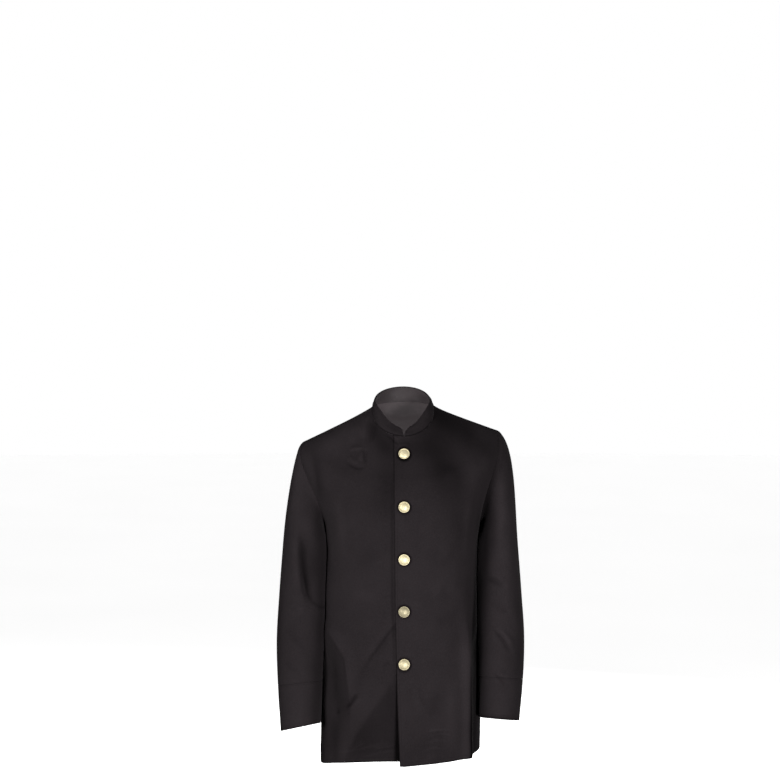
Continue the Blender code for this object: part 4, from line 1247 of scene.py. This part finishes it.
def make_gilt(name, settings):
    """Gilt metal: turned marks round the face, a tarnished groove inside the rim, a darker edge
    that is painted shadow, fine scuffs, and each button as much darker as its shade mark says."""
    graph = Graph(name)
    x, y = graph.pair("weave")
    radius = (x * x + y * y).math("SQRT")
    turned = (radius * (2 * math.pi / 0.00045)).math("SINE")
    scuffs = graph.noise(650.0, 4.0, 0.65)
    clouds = graph.noise(150.0, 3.0, 0.55)
    uneven = graph.noise(9.0, 1.0, 0.5)
    size = settings.radius
    groove = 1.0 - (radius - size * 0.79).math("ABSOLUTE").between(0.0002, 0.0009)
    # painted shadow: the rim's outer edge is darkened to a dark brown
    edge = radius.between(size * 0.955, size * 0.995)
    patina_and_rim_shade = (groove * 0.22 + edge * 0.92 + clouds.between(0.55, 0.85) * 0.12).math("MINIMUM", 1.0)
    gilt = graph.mix(uneven.between(0.35, 0.65), rgba(settings.colour, 0.88),
                     rgba(settings.colour, 1.08))
    gilt = graph.mix(scuffs.between(0.45, 0.8) * 0.20, gilt, (0.64, 0.60, 0.48, 1.0))
    gilt = graph.mix(patina_and_rim_shade, gilt, (0.060, 0.040, 0.018, 1.0))
    # each button is as much darker as its shade mark says
    gilt = graph.scale(gilt, 1.0 - graph.mark("shade"))
    relief = graph.bump(turned * 0.25 + scuffs * 0.8, 0.00004, 0.5)
    graph.feed(graph.surface, {
        "Base Color": gilt, "Metallic": 1.0, "Normal": relief,
        "Roughness": 0.50 + scuffs * 0.10 + patina_and_rim_shade * 0.20,
    })
    return graph.material


def make_floor():
    """A pale matt floor with faint unevenness."""
    graph = Graph("pale_floor")
    clouds = graph.noise(0.7, 2.0, 0.5)
    colour = graph.mix(clouds, (0.88, 0.88, 0.88, 1.0), (0.92, 0.92, 0.92, 1.0))
    graph.feed(graph.surface, {
        "Base Color": colour, "Roughness": 0.9, "Emission Color": colour, "Emission Strength": 1.0,
    })
    return graph.material


def make_disc(name, radius, height, material):
    """A flat round floor: one polygon."""
    turn = np.arange(FLOOR_SIDES) / FLOOR_SIDES * 2 * math.pi
    x, y = radius * np.cos(turn), radius * np.sin(turn)
    rim = np.stack([x, y, np.full_like(x, height)], -1)
    return add_piece(name, rim, [list(range(FLOOR_SIDES))], material)


def lamp(row, power):
    """A square soft lamp of this power that points at its aim and is itself unseen."""
    data = bpy.data.lights.new(row.name, "AREA")
    data.shape, data.size, data.energy = "SQUARE", row.size, power
    light = bpy.data.objects.new(row.name, data)
    heading = Vector(row.aim) - Vector(row.place)
    light.location, light.rotation_euler = row.place, heading.to_track_quat("-Z", "Y").to_euler()
    light.visible_camera = False
    bpy.context.scene.collection.objects.link(light)


def button_profile(settings):
    """Radius and height of the button's outline, from the middle of its foot to the top of its
    dome: a waisted shank, a flat back, a rolled rim, a groove and a low dome."""
    size, base, reach, groove_z, foot = settings.radius, 0.0026, 0.0011, 0.00375, -0.0010
    waist = np.linspace(0, 1, 7)
    height = foot + (base - foot) * waist
    shank = np.stack([0.0029 - 0.0006 * np.sin(math.pi * waist), height], -1)
    roll = np.linspace(-math.pi / 2, math.pi * 0.80, 15)
    rim = np.stack([size - reach + reach * np.cos(roll), base + reach * (1 + np.sin(roll))], -1)
    face = size - 2.35 * reach
    share = np.linspace(1, 0, 14)[1:]
    rise = base + 0.0022 + settings.dome - groove_z
    dome = np.stack([face * share, groove_z + rise * (1 - share**2.4)], -1)
    back = [[0.0036, base], [size * 0.6, base]]
    groove = [[face + 0.00030, groove_z + 0.00005], [face, groove_z]]
    return np.concatenate([[[0.0, foot]], shank, back, rim, groove, dome])


def button_mesh(name, settings, origin, outward, material, darkening):
    """The profile turned round the button's axis: rings of points, and a fan at each pole."""
    profile = button_profile(settings)
    turn = np.arange(BUTTON_SIDES) / BUTTON_SIDES * 2 * math.pi
    radius, height = profile[1:-1, :1], profile[1:-1, 1:]
    x, y = radius * np.cos(turn), radius * np.sin(turn)
    local = np.stack([x, y, height + np.zeros_like(x)], -1).reshape(-1, 3)
    index = np.arange(len(local)).reshape(-1, BUTTON_SIDES)
    foot, crown = (np.full(BUTTON_SIDES, len(local) + k) for k in (0, 1))
    local = np.concatenate([local, [[0.0, 0.0, profile[0, 1]], [0.0, 0.0, profile[-1, 1]]]])
    below = np.stack([foot, np.roll(index[0], -1), index[0]], -1)
    above = np.stack([crown, index[-1], np.roll(index[-1], -1)], -1)
    faces = quads(index, True).tolist() + below.tolist() + above.tolist()
    facing = np.array(Vector(outward).to_track_quat("Z", "X").to_matrix())
    button = add_piece(name, local @ facing.T + origin, faces, material)
    corners = np.zeros(len(button.data.loops), np.int32)
    button.data.loops.foreach_get("vertex_index", corners)
    add_map(button.data, "weave", local[corners, :2])
    add_mark(button.data, "shade", np.full(len(local), darkening))
    return button


def place_on_button_line(z):
    """The place along the cloth at which the button line has this height."""
    places = np.linspace(HEM_AT, NECK_AT, 8 * FINE)[:, None]
    heights = torso(np.zeros_like(places), places)[:, 0, 2]
    return float(np.interp(z, heights, places[:, 0]))


class JACKET_OT_stage(bpy.types.Operator):
    """Make the camera, the pale floor, the white surround and the soft lamps"""

    bl_idname = "jacket.stage"
    bl_label = "Stage"

    def execute(self, context):
        settings = context.scene.jacket_stage
        camera = bpy.data.cameras.new("camera")
        camera.lens, camera.sensor_width = CAMERA_LENS, CAMERA_SENSOR
        camera.clip_end = 100.0
        view = bpy.data.objects.new("camera", camera)
        view.location, view.rotation_euler = CAMERA_PLACE, (math.pi / 2, 0.0, 0.0)
        context.scene.collection.objects.link(view)
        context.scene.camera = view
        world = bpy.data.worlds.new("white_surround")
        world.use_nodes = True
        world.node_tree.nodes["Background"].inputs["Color"].default_value = (1, 1, 1, 1)
        world.node_tree.nodes["Background"].inputs["Strength"].default_value = settings.surround
        context.scene.world = world
        world.cycles_visibility.diffuse = False
        context.scene.view_settings.view_transform = "Standard"
        floor = make_disc("floor", FLOOR_RADIUS, settings.floor_height, make_floor())
        floor.visible_diffuse = False
        for row in LAMPS:
            lamp(row, settings.key * row.share)
        return {"FINISHED"}


class JACKET_OT_body(bpy.types.Operator):
    """Make both fronts, the back and the yoke's lining"""

    bl_idname = "jacket.body"
    bl_label = "Fronts, Back and Yoke Lining"

    def execute(self, context):
        settings = context.scene.jacket_cloth
        cloth = make_cloth("black_serge_body", settings)
        rows = torso_places()
        for name, node, ends, columns, shape in (
            ("left_front", "front_left", left_front_ends, FRONT_COLUMNS, left_front),
            ("right_front", "front_right", right_front_ends, FRONT_COLUMNS, right_front),
            ("back_cloth", "back", back_ends, BACK_COLUMNS, back),
        ):
            middle, half, normals, across, up, points = body_panel(
                rows, ends, columns, shape, 0.0, CLOTH, settings.creases
            )
            # painted shade and painted light of the panel's creases, shades, hem, front edge and
            # buttons
            shade = body_tone(points, across, up, shape)
            edge, lined = (across, up), smooth_step(*HEM_FACING, up)
            if shape is back:
                across, edge = across - across[:, -1:] / 2, (up + NO_EDGE, up)
            else:
                lined = lined * smooth_step(*FRONT_FACING, across)
            piece = shell(
                name, middle, half, normals, (across, up), edge, cloth, lined=lined, shade=shade
            )
            dress(piece, node)
        lining = make_lining("grey_satin_yoke", settings, YOKE_SHADE_GAIN)
        rows = rows[rows > YOKE_AT]
        middle, half, normals, across, up, _ = body_panel(
            rows, back_ends, YOKE_COLUMNS, back_lining, CLOTH + SEAM, LINING, settings.creases,
            YOKE_MARGIN,
        )
        weave = (across, up)
        piece = shell("yoke_lining_cloth", middle, half, normals, weave, weave, lining)
        dress(piece, "yoke_lining")
        return {"FINISHED"}


class JACKET_OT_sleeves(bpy.types.Operator):
    """Make both sleeves and their cuff bands"""

    bl_idname = "jacket.sleeves"
    bl_label = "Sleeves and Cuffs"

    def execute(self, context):
        settings = context.scene.jacket_cloth
        cloth = make_cloth("black_serge_sleeves", settings)
        for side, table, side_sign, quarters, creases, shades in (
            ("right", RIGHT_ARM, -1, (RIGHT_FRONT_QUARTER, RIGHT_BACK_QUARTER),
             RIGHT_SLEEVE_CREASES, RIGHT_SLEEVE_SHADES),
            ("left", LEFT_ARM, 1, (LEFT_FRONT_QUARTER, LEFT_BACK_QUARTER),
             LEFT_SLEEVE_CREASES, LEFT_SLEEVE_SHADES),
        ):
            middle, half, normals, down = sleeve_grid(
                side, table, side_sign, quarters, creases, settings.creases
            )
            across = round_tube(middle)
            weave = (across, -with_last(down))
            piece = shell(
                side + "_sleeve", middle, half, normals, weave, (weave[1] + NO_EDGE, across), cloth,
                wraps=True, lined=np.ones_like(half),
                shade=sleeve_tone(middle, normals, creases, shades),
            )
            dress(piece, "sleeve_" + side)
            middle, half, normals, down = cuff_grid(table, side_sign, middle.shape[1])
            across = round_tube(middle)
            weave = (across, -with_last(down))
            below = with_last(down[-1:] - down)
            above = np.abs(with_last(down) - CUFF_TUCK[0])
            piece = shell(
                side + "_cuff", middle, half, normals, weave,
                (np.minimum(below, above), across), cloth, wraps=True,
                lined=smooth_step(*CUFF_FACING, down[-1:] - down),
                # painted shade: the sleeve's shades, and a shadow along the cuff's lower edge
                shade=sleeve_tone(middle, normals, ((), ()), shades)
                + CUFF_SHADE * smooth_step(*CUFF_EDGE, down[-1:] - down),
            )
            dress(piece, "cuff_" + side)
        return {"FINISHED"}


class JACKET_OT_collar(bpy.types.Operator):
    """Make the stand collar and its lining"""

    bl_idname = "jacket.collar"
    bl_label = "Collar"

    def execute(self, context):
        settings = context.scene.jacket_cloth
        cloth = make_cloth("black_serge_collar", settings, COLLAR_STITCHES_AT)
        lining = make_lining("grey_satin_collar", settings, COLLAR_SHADE_GAIN)
        for name, node, slot, material, band in (
            ("stand_collar", "collar", "black_cloth", cloth, (0.0, 0.0, 1.0, COLLAR_CLOTH)),
            ("collar_lining_cloth", "collar_lining", "grey_lining", lining,
             (COLLAR_CLOTH + SEAM, 0.0, COLLAR_LINING_TOP, LINING, COLLAR_LINING_TRIM)),
        ):
            middle, half, normals, across, up, off = collar_grid(*band)
            # painted shade: the collar a little darker all over, and darker still at its foot,
            # where its rim would catch light
            shade = COLLAR_SHADE + SEAM_SHADE * smooth_step(*COLLAR_FOOT, up)
            piece = shell(
                name, middle, half, normals, (across, up), (off, across), material,
                shade=shade if node == "collar" else None,
            )
            dress(piece, node)
        return {"FINISHED"}


class JACKET_OT_buttons(bpy.types.Operator):
    """Make the five gilt shank buttons"""

    bl_idname = "jacket.buttons"
    bl_label = "Buttons"

    def execute(self, context):
        settings = context.scene.jacket_buttons
        gilt = make_gilt("gilt_metal", settings)
        for i, darkening in enumerate(BUTTON_DARKENING):
            at = np.array([[place_on_button_line(FIRST_BUTTON_Z - i * BUTTON_SPACING)]])
            zero = np.zeros_like(at)
            origin, outward = torso(zero, at)[0, 0], torso_normal(zero, at)[0, 0]
            name = f"gilt_button_{i + 1}"
            piece = button_mesh(name, settings, origin, outward, gilt, darkening)
            dress(piece, f"button_{i + 1}")
        return {"FINISHED"}


class JACKET_PT_panel(bpy.types.Panel):
    """Lists the jacket's pieces and their sizes"""

    bl_label = "Head Waiter Jacket"
    bl_idname = "JACKET_PT_panel"
    bl_space_type = "VIEW_3D"
    bl_region_type = "UI"
    bl_category = "Jacket"

    def draw(self, context):
        for operator in OPERATORS:
            self.layout.operator(operator.bl_idname)
        for name, group in SETTINGS.items():
            box = self.layout.box()
            box.label(text=group.__doc__)
            for field in group.__annotations__:
                box.prop(getattr(context.scene, name), field)


SETTINGS = {
    "jacket_cloth": ClothSettings, "jacket_buttons": ButtonSettings, "jacket_stage": StageSettings,
}
OPERATORS = (
    JACKET_OT_stage, JACKET_OT_body, JACKET_OT_sleeves, JACKET_OT_collar, JACKET_OT_buttons,
)


def register():
    for group in (*SETTINGS.values(), *OPERATORS, JACKET_PT_panel):
        bpy.utils.register_class(group)
    for name, group in SETTINGS.items():
        setattr(bpy.types.Scene, name, bpy.props.PointerProperty(type=group))


def unregister():
    for name in SETTINGS:
        delattr(bpy.types.Scene, name)
    for group in reversed((*SETTINGS.values(), *OPERATORS, JACKET_PT_panel)):
        bpy.utils.unregister_class(group)


def main():
    register()
    for make in (
        bpy.ops.jacket.stage, bpy.ops.jacket.body, bpy.ops.jacket.sleeves,
        bpy.ops.jacket.collar, bpy.ops.jacket.buttons,
    ):
        make()


if __name__ == "__main__":
    main()
